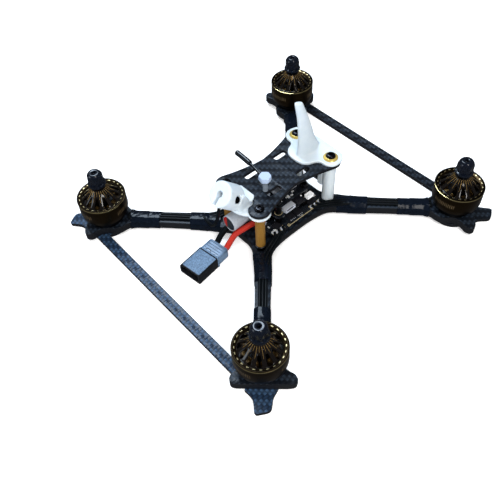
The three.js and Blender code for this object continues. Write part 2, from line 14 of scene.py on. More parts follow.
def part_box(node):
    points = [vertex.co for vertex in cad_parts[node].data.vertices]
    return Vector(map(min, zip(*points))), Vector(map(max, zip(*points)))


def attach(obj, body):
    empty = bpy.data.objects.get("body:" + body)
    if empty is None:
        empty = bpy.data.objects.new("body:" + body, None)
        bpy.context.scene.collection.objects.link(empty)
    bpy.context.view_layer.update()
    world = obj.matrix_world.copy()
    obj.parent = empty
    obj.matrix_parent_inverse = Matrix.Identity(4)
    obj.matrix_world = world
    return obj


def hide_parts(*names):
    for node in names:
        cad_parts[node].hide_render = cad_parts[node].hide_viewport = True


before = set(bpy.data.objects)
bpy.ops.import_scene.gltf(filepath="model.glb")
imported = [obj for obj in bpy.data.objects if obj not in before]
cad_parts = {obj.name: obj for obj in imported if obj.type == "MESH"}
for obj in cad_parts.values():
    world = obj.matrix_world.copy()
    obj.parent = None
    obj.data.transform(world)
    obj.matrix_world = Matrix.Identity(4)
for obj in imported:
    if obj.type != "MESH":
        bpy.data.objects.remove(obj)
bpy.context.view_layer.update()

MM = 0.001
TURN = 2 * pi
CORNERS = {
    "front_left": (-1, 1),
    "front_right": (1, 1),
    "rear_left": (-1, -1),
    "rear_right": (1, -1),
}
SIDES = (("left", -1), ("right", 1))
ARM_ANGLE = radians(43.7)


def low(node):
    """Lowest corner of a CAD node, in millimetres."""
    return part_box(node)[0] / MM


def high(node):
    """Highest corner of a CAD node, in millimetres."""
    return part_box(node)[1] / MM


def middle(node):
    return (low(node) + high(node)) / 2


STRUT_TOP = high("front_strut").z
FRAME_TOP = high("frame_plate").z
PLATE_TOP = high("top_plate").z
PLATE_BOTTOM = low("top_plate").z
FLANGE_BOTTOM = low("rear_socket_mount").z
MOTOR = middle("shaft_front_right")
BOLT = middle("nylon_bolt")
POST = middle("standoff_front_right")
ESC_TOP = 13.6
FC_TOP = 21.0


# ---------------------------------------------------------------- material nodes


def adds(operation):
    """A method of Value that adds a Math node."""
    return lambda value, *others: value.look.math(operation, value, *others)


class Value:
    """The output of a material node; plain arithmetic on it adds Math nodes."""

    __add__ = adds("ADD")
    __sub__ = adds("SUBTRACT")
    __mul__ = adds("MULTIPLY")
    __truediv__ = adds("DIVIDE")
    __mod__ = adds("FLOORED_MODULO")
    __gt__ = adds("GREATER_THAN")
    __lt__ = adds("LESS_THAN")
    __abs__ = adds("ABSOLUTE")
    sine = adds("SINE")
    floor = adds("FLOOR")
    fraction = adds("FRACT")
    root = adds("SQRT")

    def __init__(self, look, socket):
        self.look = look
        self.socket = socket


class Look:
    """A Principled material and the few node helpers that its pattern needs."""

    def __init__(self, color, roughness, metallic=0.0, **sockets):
        self.material = bpy.data.materials.new("look")
        self.material.use_nodes = True
        self.tree = self.material.node_tree
        self.set(Base_Color=(*color, 1), Roughness=roughness, Metallic=metallic, **sockets)

    def feed(self, socket, value):
        if isinstance(value, Value):
            self.tree.links.new(value.socket, socket)
        else:
            socket.default_value = value

    def set(self, **sockets):
        """Feeds sockets of the shader, each with a number, a colour or a Value."""
        shader = self.tree.nodes["Principled BSDF"]
        for name, value in sockets.items():
            self.feed(shader.inputs[name.replace("_", " ")], value)

    def node(self, kind, inputs=(), output=0, **settings):
        """Adds a node, feeds its inputs by name or number, and gives one of its outputs."""
        made = self.tree.nodes.new("ShaderNode" + kind)
        for key, value in settings.items():
            setattr(made, key, value)
        for key, value in dict(inputs).items():
            self.feed(made.inputs[key], value)
        return Value(self, made.outputs[output])

    def math(self, operation, *values):
        return self.node("Math", enumerate(values), operation=operation)

    def place(self, stretch=(1, 1, 1)):
        """Object position in millimetres, stretched along its axes."""
        factors = [s / MM for s in stretch]
        return self.node("VectorMath", {0: self.node("TexCoord", output="Object"), 1: factors},
                         operation="MULTIPLY")

    def axes(self, vector=None):
        """The x, y and z of a vector, or else of the object position."""
        vector = vector or self.place()
        return [self.node("SeparateXYZ", {0: vector}, axis) for axis in range(3)]

    def noise(self, scale, detail=2.0, stretch=(1, 1, 1)):
        inputs = {"Vector": self.place(stretch), "Scale": scale, "Detail": detail}
        return self.node("TexNoise", inputs, "Fac")

    def between(self, factor, start, end):
        """A value that runs from start to end as factor runs from 0 to 1."""
        return self.node("MapRange", {"Value": factor, "To Min": start, "To Max": end})

    def blend(self, factor, first, second):
        """A colour mix; each colour is three numbers or a Value."""
        first, second = ((*c, 1) if isinstance(c, tuple) else c for c in (first, second))
        return self.node("Mix", {0: factor, 6: first, 7: second}, 2, data_type="RGBA")

    def bump(self, height, distance, strength):
        inputs = {"Height": height, "Distance": distance * MM, "Strength": strength}
        self.set(Normal=self.node("Bump", inputs))

    def speckle(self, color, amount, scale, roughness):
        """Fine unevenness of colour and gloss that any moulded or painted piece has."""
        grain = self.noise(scale, 4)
        darker = tuple(c * (1 - amount) for c in color)
        lighter = tuple(min(1, c * (1 + amount)) for c in color)
        self.set(Base_Color=self.blend(grain, darker, lighter),
                 Roughness=self.between(grain, roughness * 0.85, roughness * 1.15))
        return grain


def carbon_look(pale, shade, shine):
    """Two-by-two twill on flat faces, thin plies on the cut edges; the pale weft tows hold painted sheen
    and the dips between tows hold painted shade.
    """
    tow = 1.9
    look = Look((0.03, 0.035, 0.045), 0.4, Specular_IOR_Level=shine)
    x, y, z = look.axes()
    u, v = x / tow, y / tow
    column, row = u.floor(), v.floor()
    warp = (row - column) % 4 < 1.5

    def arch(value, width):
        return ((value / width).fraction() * pi).sine()

    warp_height = arch((v - column) % 4, 2) * arch(u, 1)
    weft_height = arch((u - row) % 4, 2) * arch(v, 1)
    height = look.node("Mix", {0: warp, 2: weft_height, 3: warp_height}, data_type="FLOAT")
    fibre_x = look.noise(1.0, 3, (0.25, 9, 1))
    fibre_y = look.noise(1.0, 3, (9, 0.25, 1))
    # Painted sheen: the weft tows are lighter and bluer than the warp, standing in for the light they
    # reflect.
    weft_sheen_color = look.blend(fibre_x, tuple(c * 0.3 for c in pale), pale)
    warp_color = look.blend(fibre_y, tuple(c * 0.3 for c in shade), shade)
    weave = look.blend(warp, weft_sheen_color, warp_color)
    # Painted shade: the weave darkens to near black in the dips between tows.
    weave = look.blend(look.between(height, 0.75, 0.0), weave, (0.003, 0.004, 0.006))
    flat = abs(look.axes(look.node("NewGeometry", output="Normal"))[2]) > 0.6
    plies = (z * (TURN / 0.42)).sine()
    edge = look.blend(look.between(plies, 0.2, 0.8), (0.004, 0.0045, 0.006), (0.012, 0.013, 0.016))
    look.set(Base_Color=look.blend(flat, edge, weave), Roughness=look.between(flat * warp, 0.42, 0.3))
    look.bump(flat * height + look.between(fibre_x, 0, 0.25) * flat, 0.12, 0.7)
    return look


def tape_look():
    """Glossy stretched electrical tape."""
    look = Look((0.012, 0.013, 0.017), 0.2, Specular_IOR_Level=0.15)
    wrinkles = look.noise(0.55, 3)
    grain = look.noise(9.0)
    look.set(Base_Color=look.blend(wrinkles, (0.001, 0.002, 0.004), (0.004, 0.007, 0.014)),
             Roughness=look.between(grain, 0.1, 0.2))
    look.bump(wrinkles + grain * 0.04, 0.12, 0.35)
    return look


def printed_look():
    """Flexible printed plastic with fine layer lines, slightly see-through."""
    look = Look((0.55, 0.62, 0.67), 0.42, Subsurface_Weight=0.45,
                Subsurface_Scale=0.0035, Subsurface_Radius=(0.9, 1.0, 1.15))
    _, _, z = look.axes()
    cloud = look.noise(0.35, 3)
    wobble = look.between(look.noise(0.8), -0.04, 0.04)
    layers = ((z + wobble) * (TURN / 0.28)).sine()
    look.set(Base_Color=look.blend(cloud, (0.5, 0.58, 0.64), (0.6, 0.66, 0.7)),
             Roughness=look.between(cloud, 0.34, 0.52))
    look.bump(layers + cloud * 2, 0.02, 0.45)
    return look


def turned_metal_look(color, roughness, lines=0.0, pitch=0.25, metallic=1.0):
    """Anodised or plated turned metal; lines is the depth of the tool marks around it."""
    look = Look(color, roughness, metallic)
    _, _, z = look.axes()
    marks = (z * (TURN / pitch)).sine()
    look.bump(marks * lines + look.speckle(color, 0.18, 2.2, roughness), 0.012, 0.5)
    return look


def bell_look():
    """Dark bronze anodising: almost black on top, with a faint engraved band of ticks on the side."""
    look = Look((0.04, 0.026, 0.012), 0.3, 1.0)
    x, y, z = look.axes()
    grain = look.noise(2.0, 4)
    side = look.blend(grain, (0.03, 0.019, 0.01), (0.07, 0.045, 0.02))
    base = look.blend(z > 17.3, side, (0.014, 0.009, 0.005))
    angle = look.math("ARCTAN2", y, x)
    ticks = (angle * 84).sine() > 0.2
    gaps = (angle * 3).sine() > 0.1
    strokes = (z * (TURN / 0.9)).sine() > -0.5
    band = (abs(z - 11.6) < 1.3) * strokes * ((x * x + y * y).root() > 13.9)
    letters = ticks * gaps * band
    look.set(Base_Color=look.blend(letters * 0.35, base, (0.3, 0.21, 0.1)),
             Metallic=look.between(letters, 1.0, 0.4), Roughness=look.between(grain, 0.24, 0.38))
    look.bump(grain * 0.3 - letters, 0.03, 0.5)
    return look


def winding_look():
    """Enamelled copper wire lying side by side, with painted shade: dark overall and darker still towards
    the outside, under the bell.
    """
    look = Look((0.2, 0.1, 0.03), 0.3, 0.85)
    x, y, z = look.axes()
    # Painted shade: the copper darkens with distance from the hub.
    lit_near_hub = look.math("SUBTRACT", 3.4, (x * x + y * y).root() * 0.37)
    look.set(Base_Color=look.blend(look.noise(1.2) * lit_near_hub, (0.012, 0.006, 0.002), (0.34, 0.2, 0.06)))
    look.bump((z * (TURN / 0.55)).sine(), 0.12, 0.9)
    return look


def knurled_look():
    """Bronze anodised post with a fine crossed knurl."""
    look = Look((0.42, 0.25, 0.07), 0.3, 0.55)
    x, y, z = look.axes()
    angle = look.math("ARCTAN2", y, x) * 22
    rise = z * (TURN / 0.9)
    cross = ((angle + rise).sine() + (angle - rise).sine()) * 0.5
    grain = look.noise(2.5, 4)
    base = look.blend(grain, (0.36, 0.17, 0.025), (0.62, 0.33, 0.07))
    look.set(Base_Color=look.blend(look.between(cross, 0, 0.4), base, (0.07, 0.035, 0.008)),
             Roughness=look.between(grain, 0.3, 0.45))
    look.bump(cross, 0.08, 0.7)
    return look


def moulded_look(color, roughness, scale=5.0, depth=0.05, shine=0.22, amount=0.3, strength=0.8):
    """Plastic or silicone with a fine grain of a scale and depth."""
    look = Look(color, roughness, Specular_IOR_Level=shine)
    look.bump(look.speckle(color, amount, scale, roughness), depth, strength)
    return look


def board_look():
    """Black solder mask with faint traces underneath."""
    look = Look((0.01, 0.012, 0.014), 0.22, Specular_IOR_Level=0.3)
    x, y, _ = look.axes()
    zigzag = x + abs((y * 0.5).sine())
    shown = ((zigzag * (TURN / 0.8)).sine() > 0.55) * (look.noise(0.25, 0) > 0.5)
    look.set(Base_Color=look.blend(shown, (0.004, 0.005, 0.007), (0.016, 0.02, 0.026)))
    look.bump(shown, 0.03, 0.4)
    return look


LOOKS = {
    "carbon": carbon_look((0.03, 0.044, 0.066), (0.007, 0.01, 0.016), 0.22),
    # A lighter, bluer copy of the carbon for the rear strut: painted sheen of the sky light it reflects.
    "strut_carbon_painted_sheen": carbon_look((0.06, 0.125, 0.24), (0.022, 0.048, 0.1), 0.28),
    "tape": tape_look(),
    "tpu": printed_look(),
    "bell": bell_look(),
    "rim": turned_metal_look((0.8, 0.64, 0.3), 0.16),
    "dash": turned_metal_look((0.72, 0.58, 0.3), 0.3),
    "rib": turned_metal_look((0.36, 0.23, 0.08), 0.2, metallic=0.7),
    "spoke": moulded_look((0.003, 0.002, 0.0015), 0.1, 1.5, 0.004, shine=0.5),
    "nut": moulded_look((0.0015, 0.003, 0.007), 0.18, 0.6, 0.001, shine=0.5, amount=0.1),
    "screw": turned_metal_look((0.03, 0.03, 0.034), 0.2),
    "steel": turned_metal_look((0.09, 0.09, 0.1), 0.24, 0.3),
    "silver": turned_metal_look((0.72, 0.76, 0.84), 0.3, metallic=0.55),
    "gold": turned_metal_look((0.62, 0.52, 0.3), 0.3, metallic=0.5),
    "brass": turned_metal_look((0.9, 0.64, 0.18), 0.2, 0.5, metallic=0.65),
    "winding": winding_look(),
    "core": turned_metal_look((0.03, 0.03, 0.03), 0.4, 1.5, 0.35),
    "magnet": turned_metal_look((0.16, 0.15, 0.13), 0.3),
    "anodised": turned_metal_look((0.03, 0.03, 0.034), 0.34),
    "knurl": knurled_look(),
    # The plug is black nylon; "plug" and "plug_cap" are blue-grey copies whose colour is painted sheen from
    # the cool light above.
    "plug": moulded_look((0.095, 0.155, 0.24), 0.5, 1.3, 0.16, amount=0.95),
    "plug_cap": moulded_look((0.1, 0.16, 0.25), 0.32, 0.25, 0.02, shine=0.5, amount=0.9),
    "plug_dark": moulded_look((0.006, 0.007, 0.009), 0.34, 5.0, 0.03),
    "plastic": moulded_look((0.005, 0.005, 0.007), 0.3, 4.0, 0.02),
    "shrink": moulded_look((0.003, 0.004, 0.006), 0.16, 1.2, 0.03, shine=0.5),
    "nylon": moulded_look((0.36, 0.45, 0.6), 0.6, 2.0, 0.02),
    # A darker grey copy of the nylon for the bolt's shank and lock nut below the head: painted shade.
    "nylon_thread_painted_shade": moulded_look((0.16, 0.19, 0.23), 0.5, 2.0, 0.02),
    "ivory": moulded_look((0.5, 0.5, 0.47), 0.4, 3.0, 0.02),
    "sleeve": moulded_look((0.4, 0.43, 0.48), 0.24, 1.0, 0.02, shine=0.6),
    "can": turned_metal_look((0.2, 0.21, 0.23), 0.32),
    # Painted reflection: red standing in for the red lead mirrored in the capacitor's metal face.
    "painted_red_reflection": moulded_look((0.4, 0.012, 0.01), 0.3, 2.0, 0.02),
    "board": board_look(),
    "chip": moulded_look((0.008, 0.008, 0.01), 0.42, 8.0, 0.02),
    "white": moulded_look((0.8, 0.82, 0.84), 0.5, 6.0, 0.01),
    "red": moulded_look((0.42, 0.024, 0.014), 0.4, 1.6, 0.1, 0.3, 0.22, 0.3),
    "black": moulded_look((0.002, 0.003, 0.004), 0.4, 1.6, 0.1, 0.14, 0.22, 0.3),
    "glass": Look((0.02, 0.015, 0.03), 0.03, Coat_Weight=1.0, Coat_Roughness=0.02),
}
for name, look in LOOKS.items():
    look.material.name = name


# ---------------------------------------------------------------- forms


class Form:
    """Points and faces in millimetres, gathered before they become one mesh."""

    def __init__(self, points=(), faces=()):
        self.points = [Vector(p) for p in points]
        self.faces = [list(f) for f in faces]

    def add(self, other):
        start = len(self.points)
        self.points += other.points
        self.faces += [[start + i for i in f] for f in other.faces]
        return self

    def at(self, *matrices):
        """A copy, moved by each matrix in turn."""
        moved = [p.copy() for p in self.points]
        faces = [list(f) for f in self.faces]
        for matrix in matrices:
            moved = [matrix @ p for p in moved]
            if matrix.determinant() < 0:
                faces = [f[::-1] for f in faces]
        return Form(moved, faces)

    def mesh(self, name):
        made = bpy.data.meshes.new(name)
        made.from_pydata([p * MM for p in self.points], [], self.faces)
        made.update()
        return made


def together(forms):
    whole = Form()
    for form in forms:
        whole.add(form)
    return whole


def shift(x=0.0, y=0.0, z=0.0):
    return Matrix.Translation((x, y, z))


def turn(angle, axis="Z"):
    return Matrix.Rotation(radians(angle), 4, axis)


def flip(x=1, y=1):
    return Matrix.Diagonal((x, y, 1, 1))


def around(form, count, first=0.0):
    """Copies of a form, spaced evenly about Z."""
    return together(form.at(turn(360 * (i + first) / count)) for i in range(count))


def skin(rings, closed=True, loop=False):
    """Faces between rings of equal length; the first and last ring are closed by one face each."""
    count = len(rings[0])
    points = [p for ring in rings for p in ring]
    faces = []
    last = len(rings) if loop else len(rings) - 1
    for k in range(last):
        near, far = k * count, (k + 1) % len(rings) * count
        for i in range(count):
            j = (i + 1) % count
            faces.append([near + i, near + j, far + j, far + i])
    if closed and not loop:
        faces.append(list(range(count))[::-1])
        faces.append([(len(rings) - 1) * count + i for i in range(count)])
    return Form(points, faces)


def turned(profile, steps=64, flats=99.0, above=-99.0):
    """A profile of (radius, z) turned about Z; above a height, six flats cut into it."""
    angles = [TURN * i / steps for i in range(steps)]
    rings = []
    for radius, z in profile:
        reach = [min(radius, hexagon(flats, a)) if z > above else radius for a in angles]
        rings.append([(r * cos(a), r * sin(a), z) for r, a in zip(reach, angles)])
    loop = profile[0] == profile[-1]
    return skin(rings[:-1] if loop else rings, loop=loop)


def hexagon(flats, angle):
    """Distance to the side of a hexagon, whose flats are this far from its middle."""
    part = (angle + pi / 6) % (pi / 3) - pi / 6
    return flats / cos(part)


def block(x0, x1, y0, y1, z0, z1):
    points = [(x, y, z) for z in (z0, z1) for y in (y0, y1) for x in (x0, x1)]
    faces = [(0, 2, 3, 1), (4, 5, 7, 6), (0, 1, 5, 4), (2, 6, 7, 3), (0, 4, 6, 2), (1, 3, 7, 5)]
    return Form(points, faces)


def spline(points, steps):
    """Points along a smooth curve through points of any dimension."""
    pts = [Vector(p) for p in points]
    ends = [2 * pts[0] - pts[1], *pts, 2 * pts[-1] - pts[-2]]
    out = []
    for a, b, c, d in zip(ends, ends[1:], ends[2:], ends[3:]):
        for i in range(steps):
            t = i / steps
            out.append(0.5 * (2 * b + (c - a) * t + (2 * a - 5 * b + 4 * c - d) * t ** 2
                              + (3 * b - a - 3 * c + d) * t ** 3))
    return [*out, pts[-1]]


def tube(points, radius, sides=16, ends=True):
    """A round tube along points; radius is a number or a function of the share of the way."""
    pts = [Vector(p) for p in points]
    rings = []
    side = None
    for i, p in enumerate(pts):
        ahead = (pts[min(i + 1, len(pts) - 1)] - pts[max(i - 1, 0)]).normalized()
        if side is None:
            side = ahead.orthogonal().normalized()
        side = (side - ahead * side.dot(ahead)).normalized()
        up = ahead.cross(side)
        r = radius(i / (len(pts) - 1)) if callable(radius) else radius
        rings.append([p + r * (cos(TURN * k / sides) * side + sin(TURN * k / sides) * up)
                      for k in range(sides)])
    return skin(rings, closed=ends)


def rounded(points, corner, steps=3):
    """A flat outline with every corner cut round."""
    pts = [Vector(p) for p in points]
    out = []
    for before, p, after in zip(pts[-1:] + pts[:-1], pts, pts[1:] + pts[:1]):
        a, b = before - p, after - p
        reach = min(corner, a.length * 0.45, b.length * 0.45)
        start, end = p + a.normalized() * reach, p + b.normalized() * reach
        for i in range(steps + 1):
            t = i / steps
            out.append((1 - t) ** 2 * start + 2 * t * (1 - t) * p + t ** 2 * end)
    return out


def rectangle(x0, x1, y0, y1):
    return [(x0, y0), (x1, y0), (x1, y1), (x0, y1)]


def circle(x, y, radius, steps=32):
    return [Vector((x + radius * cos(TURN * i / steps), y + radius * sin(TURN * i / steps)))
            for i in range(steps)]


def linked(name, data):
    """A new object in the scene."""
    made = bpy.data.objects.new(name, data)
    bpy.context.scene.collection.objects.link(made)
    return made


def form_of(holder, *helpers):
    """The form of an object with its modifiers applied; it and its helpers are removed."""
    mesh = bpy.data.meshes.new_from_object(holder.evaluated_get(bpy.context.evaluated_depsgraph_get()))
    form = Form([v.co / MM for v in mesh.vertices], [p.vertices for p in mesh.polygons])
    for used in (holder, *helpers):
        bpy.data.objects.remove(used)
    bpy.data.meshes.remove(mesh)
    return form


def plate(loops, z0, z1, bevel=0.15):
    """A flat plate whose first loop is its outline and whose other loops are holes."""
    curve = bpy.data.curves.new("plate", "CURVE")
    curve.dimensions = "2D"
    curve.fill_mode = "BOTH"
    curve.extrude = ((z1 - z0) / 2 - bevel) * MM
    curve.bevel_depth = bevel * MM
    curve.bevel_resolution = 1
    curve.offset = -bevel * MM
    for loop in loops:
        line = curve.splines.new("POLY")
        line.points.add(len(loop) - 1)
        for point, p in zip(line.points, loop):
            point.co = (p[0] * MM, p[1] * MM, 0, 1)
        line.use_cyclic_u = True
    return form_of(linked("plate", curve)).at(shift(z=(z0 + z1) / 2))


def welded(mesh):
    """Merges points that lie together and turns all faces outwards."""
    distance = 0.002
    work = bmesh.new()
    work.from_mesh(mesh)
    bmesh.ops.remove_doubles(work, verts=work.verts, dist=distance * MM)
    bmesh.ops.dissolve_degenerate(work, edges=work.edges, dist=distance * MM)
    bmesh.ops.recalc_face_normals(work, faces=work.faces)
    work.to_mesh(mesh)
    work.free()
    return mesh


def piece(name, forms, look, body="airframe", stands_for=(), at=None, bevel=0.0, angle=35, shared=None):
    """Makes one or several forms, or a mesh that another piece shares, into an object on a body."""
    whole = forms if isinstance(forms, Form) else together(forms)
    mesh = shared or welded(whole.mesh(name))
    made = linked(name, mesh)
    if not shared:
        mesh.materials.append(LOOKS[look].material)
        mesh.polygons.foreach_set("use_smooth", [True] * len(mesh.polygons))
        mesh.set_sharp_from_angle(angle=radians(angle))
    if at is not None:
        made.location = Vector(at) * MM
    if bevel:
        soft = made.modifiers.new("edges", "BEVEL")
        soft.width = bevel * MM
        soft.segments = 2
        soft.limit_method = "ANGLE"
        soft.angle_limit = radians(40)
        soft.harden_normals = True
    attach(made, body)
    if stands_for:
        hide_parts(*stands_for)
    return made


def solid(forms, cuts=()):
    """All forms joined, less the cuts."""
    base, *others = [linked("work", welded(form.mesh("work"))) for form in (*forms, *cuts)]
    for number, other in enumerate(others, 1):
        step = base.modifiers.new("step", "BOOLEAN")
        step.operation = "UNION" if number < len(forms) else "DIFFERENCE"
        step.solver = "EXACT"
        step.object = other
    return form_of(base, *others)


def softened(form, voxel, passes):
    """The same shape with its inner corners filled and its edges rounded, as a print has them."""
    made = linked("work", welded(form.mesh("work")))
    remesh = made.modifiers.new("remesh", "REMESH")
    remesh.mode = "VOXEL"
    remesh.voxel_size = voxel * MM
    relax = made.modifiers.new("relax", "CORRECTIVE_SMOOTH")
    relax.iterations = passes
    relax.use_only_smooth = True
    return form_of(made)


# ---------------------------------------------------------------- carbon plates


def without_straight(loop):
    """The loop less the points that lie on a straight run."""
    ahead = loop[1:] + loop[:1]
    return [p for before, p, after in zip(loop[-1:] + loop[:-1], loop, ahead)
            if (p - before).angle(after - p, 0) > 0.01]


def face_loops(node, height):
    """The outline and holes of a flat CAD plate at a height, as lists of points in millimetres."""
    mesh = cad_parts[node].data
    corners = [(round(v.co.x / MM, 3), round(v.co.y / MM, 3)) for v in mesh.vertices]
    heights = [v.co.z / MM for v in mesh.vertices]
    follows = {}
    for polygon in mesh.polygons:
        ids = list(polygon.vertices)
        if all(abs(heights[i] - height) < 0.01 for i in ids):
            for a, b in zip(ids, ids[1:] + ids[:1]):
                a, b = corners[a], corners[b]
                if (b, a) in follows:
                    del follows[(b, a)]
                else:
                    follows[(a, b)] = True
    ahead = dict(follows.keys())
    loops = []
    while ahead:
        start, here = ahead.popitem()
        loop = [start]
        while here != start:
            loop.append(here)
            here = ahead.pop(here)
        loops.append(without_straight([Vector(p) for p in loop]))
    return sorted(loops, key=len, reverse=True)


def refined(loop):
    """A loop with its gentle bends made smooth and its sharp corners kept."""
    steps, corner = 4, radians(50)
    count = len(loop)
    out = []
    sharp = []
    for i in range(count):
        a, b = loop[i] - loop[i - 1], loop[(i + 1) % count] - loop[i]
        sharp.append(a.angle(b, 0) > corner)
    for i in range(count):
        p1, p2 = loop[i], loop[(i + 1) % count]
        p0 = p1 + (p1 - p2) if sharp[i] else loop[i - 1]
        p3 = p2 + (p2 - p1) if sharp[(i + 1) % count] else loop[(i + 2) % count]
        span = (p2 - p1).length
        before = p2 - p0 if (p1 - p0).length < 4 * span else p1 - p0
        leave = before.normalized() * span
        arrive = (p3 - p1).normalized() * span
        for k in range(steps):
            t = k / steps
            out.append((2 * t ** 3 - 3 * t ** 2 + 1) * p1 + (t ** 3 - 2 * t ** 2 + t) * leave
                       + (-2 * t ** 3 + 3 * t ** 2) * p2 + (t ** 3 - t ** 2) * arrive)
    return out


def clear_of_slots(loop):
    """A round hole keeps its shape, but is drawn in a little where it nearly meets a slot."""
    centre = sum(loop, Vector((0, 0))) / len(loop)
    if (centre - BOLT.xy).length > 0.5:
        return loop
    return [centre + (p - centre) * 0.86 for p in loop]


def carbon_plate(node, name, look="carbon"):
    z0, z1 = low(node).z, high(node).z
    loops = [rounded(loop, 1.7, 4) if len(loop) < 6 else refined(clear_of_slots(loop))
             for loop in face_loops(node, z1)]
    piece(name, plate(loops, z0, z1), look, stands_for=[node], angle=50)


def make_plates():
    carbon_plate("frame_plate", "arms_carbon")
    carbon_plate("front_strut", "front_strut_carbon")
    # The rear strut takes the carbon copy with painted sheen.
    carbon_plate("rear_strut", "rear_strut_carbon", "strut_carbon_painted_sheen")
    carbon_plate("top_plate", "top_plate_carbon")


# ---------------------------------------------------------------- arms: wires and tape


def on_arm(out, side, z=0.0):
    """A point of the front right arm: out from the motor axis, side towards the nose."""
    c, s = cos(ARM_ANGLE), sin(ARM_ANGLE)
    return Vector((MOTOR.x + out * c - side * s, MOTOR.y + out * s + side * c, z))


def arm_edges(outline, out):
    """How far the arm reaches to either side at a station."""
    start = on_arm(out, 0).xy
    ahead = on_arm(out, 1).xy - start
    reach = [-99.0, 99.0]
    for a, b in zip(outline, outline[1:] + outline[:1]):
        cross = ahead.cross(b - a)
        if abs(cross) < 1e-9:
            continue
        along = (a - start).cross(b - a) / cross
        share = (a - start).cross(ahead) / cross
        if -1e-6 <= share <= 1 + 1e-6:
            reach = [max(reach[0], along), reach[1]] if along < 0 else [reach[0], min(reach[1], along)]
    return reach


WIRE_RADIUS = 0.86
WIRE_PITCH = 1.72
WIRE_ROOT = [(19.0, 21.5, 12.2), (20.9, 28.6, 9.2)]
WIRE_OUTS = (-55, -48, -36, -24, -13)
WIRE_Z = FRAME_TOP + WIRE_RADIUS
TAPES = ((-68.5, -50.5), (-32.5, -14.5))
TAPE_THICK = 0.17


def motor_wire(index, seed):
    """One of three wires that lie side by side from a pad of the speed controller to the motor."""
    chance = random.Random(seed)
    centre = [Vector(p) for p in WIRE_ROOT] + [on_arm(out, 0, WIRE_Z) for out in WIRE_OUTS]
    points = []
    for i, p in enumerate(centre):
        ahead = centre[min(i + 1, len(centre) - 1)] - centre[max(i - 1, 0)]
        left = Vector((-ahead.y, ahead.x, 0)).normalized()
        stray = chance.uniform(-0.12, 0.12)
        points.append(p + left * ((1 - index) * WIRE_PITCH + stray))
    pad = Vector((15.2, 11.6 + 3.1 * (2 - index), ESC_TOP + 0.8))
    bend = Vector((17.3 + 0.25 * index, pad.y + 1.6, ESC_TOP + 0.9))
    return tube(spline([pad, bend, *points], 7), WIRE_RADIUS, 12)


def tape_section(outline, out, grow, seed):
    """The outline of the tape at a station: round the arm and over the wires."""
    near, far = arm_edges(outline, out)
    near, far = near - grow, far + grow
    bottom, top = STRUT_TOP - grow, FRAME_TOP + grow
    crown = WIRE_Z + WIRE_RADIUS + grow
    hump = 1.5 * WIRE_PITCH + 0.15
    ripple = noise.noise(Vector((out * 0.5, seed, 0.0)))
    slack = 0.16 * ripple
    corners = [
        (near, bottom), (near, top - 0.25), (near + 0.35, top + 0.1),
        (-hump, crown - 0.3 + slack), (-hump + 0.5, crown + slack), (0, crown + 0.05 - slack),
        (hump - 0.5, crown + slack), (hump, crown - 0.3 + slack),
        (far - 0.35, top + 0.1), (far, top - 0.25), (far, bottom),
    ]
    section = rounded(corners, 0.45, 2)
    points = []
    for k, (side, z) in enumerate(section):
        crease = 0.1 * noise.noise(Vector((out * 0.9, k * 0.7, seed)))
        points.append(on_arm(out + 0.25 * side * ripple, side, z + (crease if z > top else 0)))
    return points


def make_tape(outline, span, seed):
    """A sleeve of one layer, and of two layers where the tape overlaps itself."""
    start, end = span
    stations = [start + (end - start) * i / 26 for i in range(27)]
    overlap = start + (end - start) * 0.42
    outer = [tape_section(outline, out, TAPE_THICK * (2 if out > overlap else 1), seed) for out in stations]
    inner = [tape_section(outline, out, 0.02, seed) for out in stations]
    return skin(outer + inner[::-1], loop=True)


def make_arms():
    outline = face_loops("frame_plate", FRAME_TOP)[0]
    for number, (name, (sx, sy)) in enumerate(CORNERS.items()):
        across = flip(sx, sy)
        wires = [motor_wire(i, 10 * number + i).at(across) for i in range(3)]
        piece(f"motor_leads_{name}", wires, "black", stands_for=[f"motor_wires_{name}"])
        for end, span in zip(("inner", "outer"), TAPES):
            tape = make_tape(outline, span, 3.7 * number + span[0])
            piece(f"tape_{end}_{name}", tape.at(across), "tape", angle=60)


# ---------------------------------------------------------------- motors

BELL_PROFILE = [
    (12.1, 5.6), (13.1, 5.6), (13.4, 5.75), (13.95, 8.1), (14.0, 8.5), (14.0, 17.0), (13.9, 17.35),
    (13.6, 17.55), (13.2, 17.6), (12.9, 17.5), (12.0, 17.15), (11.6, 17.0), (11.3, 16.7),
    (11.25, 15.6), (11.5, 15.3), (12.1, 15.1), (12.1, 5.6),
]
RIM_PROFILE = [(13.9, 17.4), (14.0, 17.36), (14.07, 17.2), (14.07, 16.9), (14.0, 16.75), (13.9, 16.75),
               (13.9, 17.4)]
HUB_PROFILE = [
    (2.55, 14.4), (4.6, 14.4), (6.0, 20.6), (6.1, 21.4), (5.2, 22.5), (4.3, 23.55), (3.95, 24.1),
    (3.8, 24.5), (3.6, 24.65), (2.75, 24.7), (2.55, 24.5), (2.55, 14.4),
]
SPOKES = 12
DASHES = 24


def cone(radius):
    """Height of the upper side of the spokes, which sweep up to the hub."""
    inward = max(0.0, (11.6 - radius) / 8)
    return 16.5 + 8 * inward ** 1.15


def spoke_disc():
    """A shallow cone with long round-ended windows; what is left between them are the spokes."""
    windows = []
    for i in range(SPOKES):
        spin = Matrix.Rotation(TURN * (i + 0.5) / SPOKES, 2)
        shape = [(6.5, -0.6), (8.6, -1.15), (10.3, -1.6), (11.0, -1.0), (11.0, 1.0), (10.3, 1.6),
                 (8.6, 1.15), (6.5, 0.6)]
        windows.append([spin @ p for p in rounded(shape, 0.8, 3)])
    rings = [circle(0, 0, 11.6, 96), circle(0, 0, 5.0, 48), *windows]
    disc = plate(rings, 0, 1.0, 0.2)
    for p in disc.points:
        p.z += cone(hypot(p.x, p.y)) - 1.0
    return disc


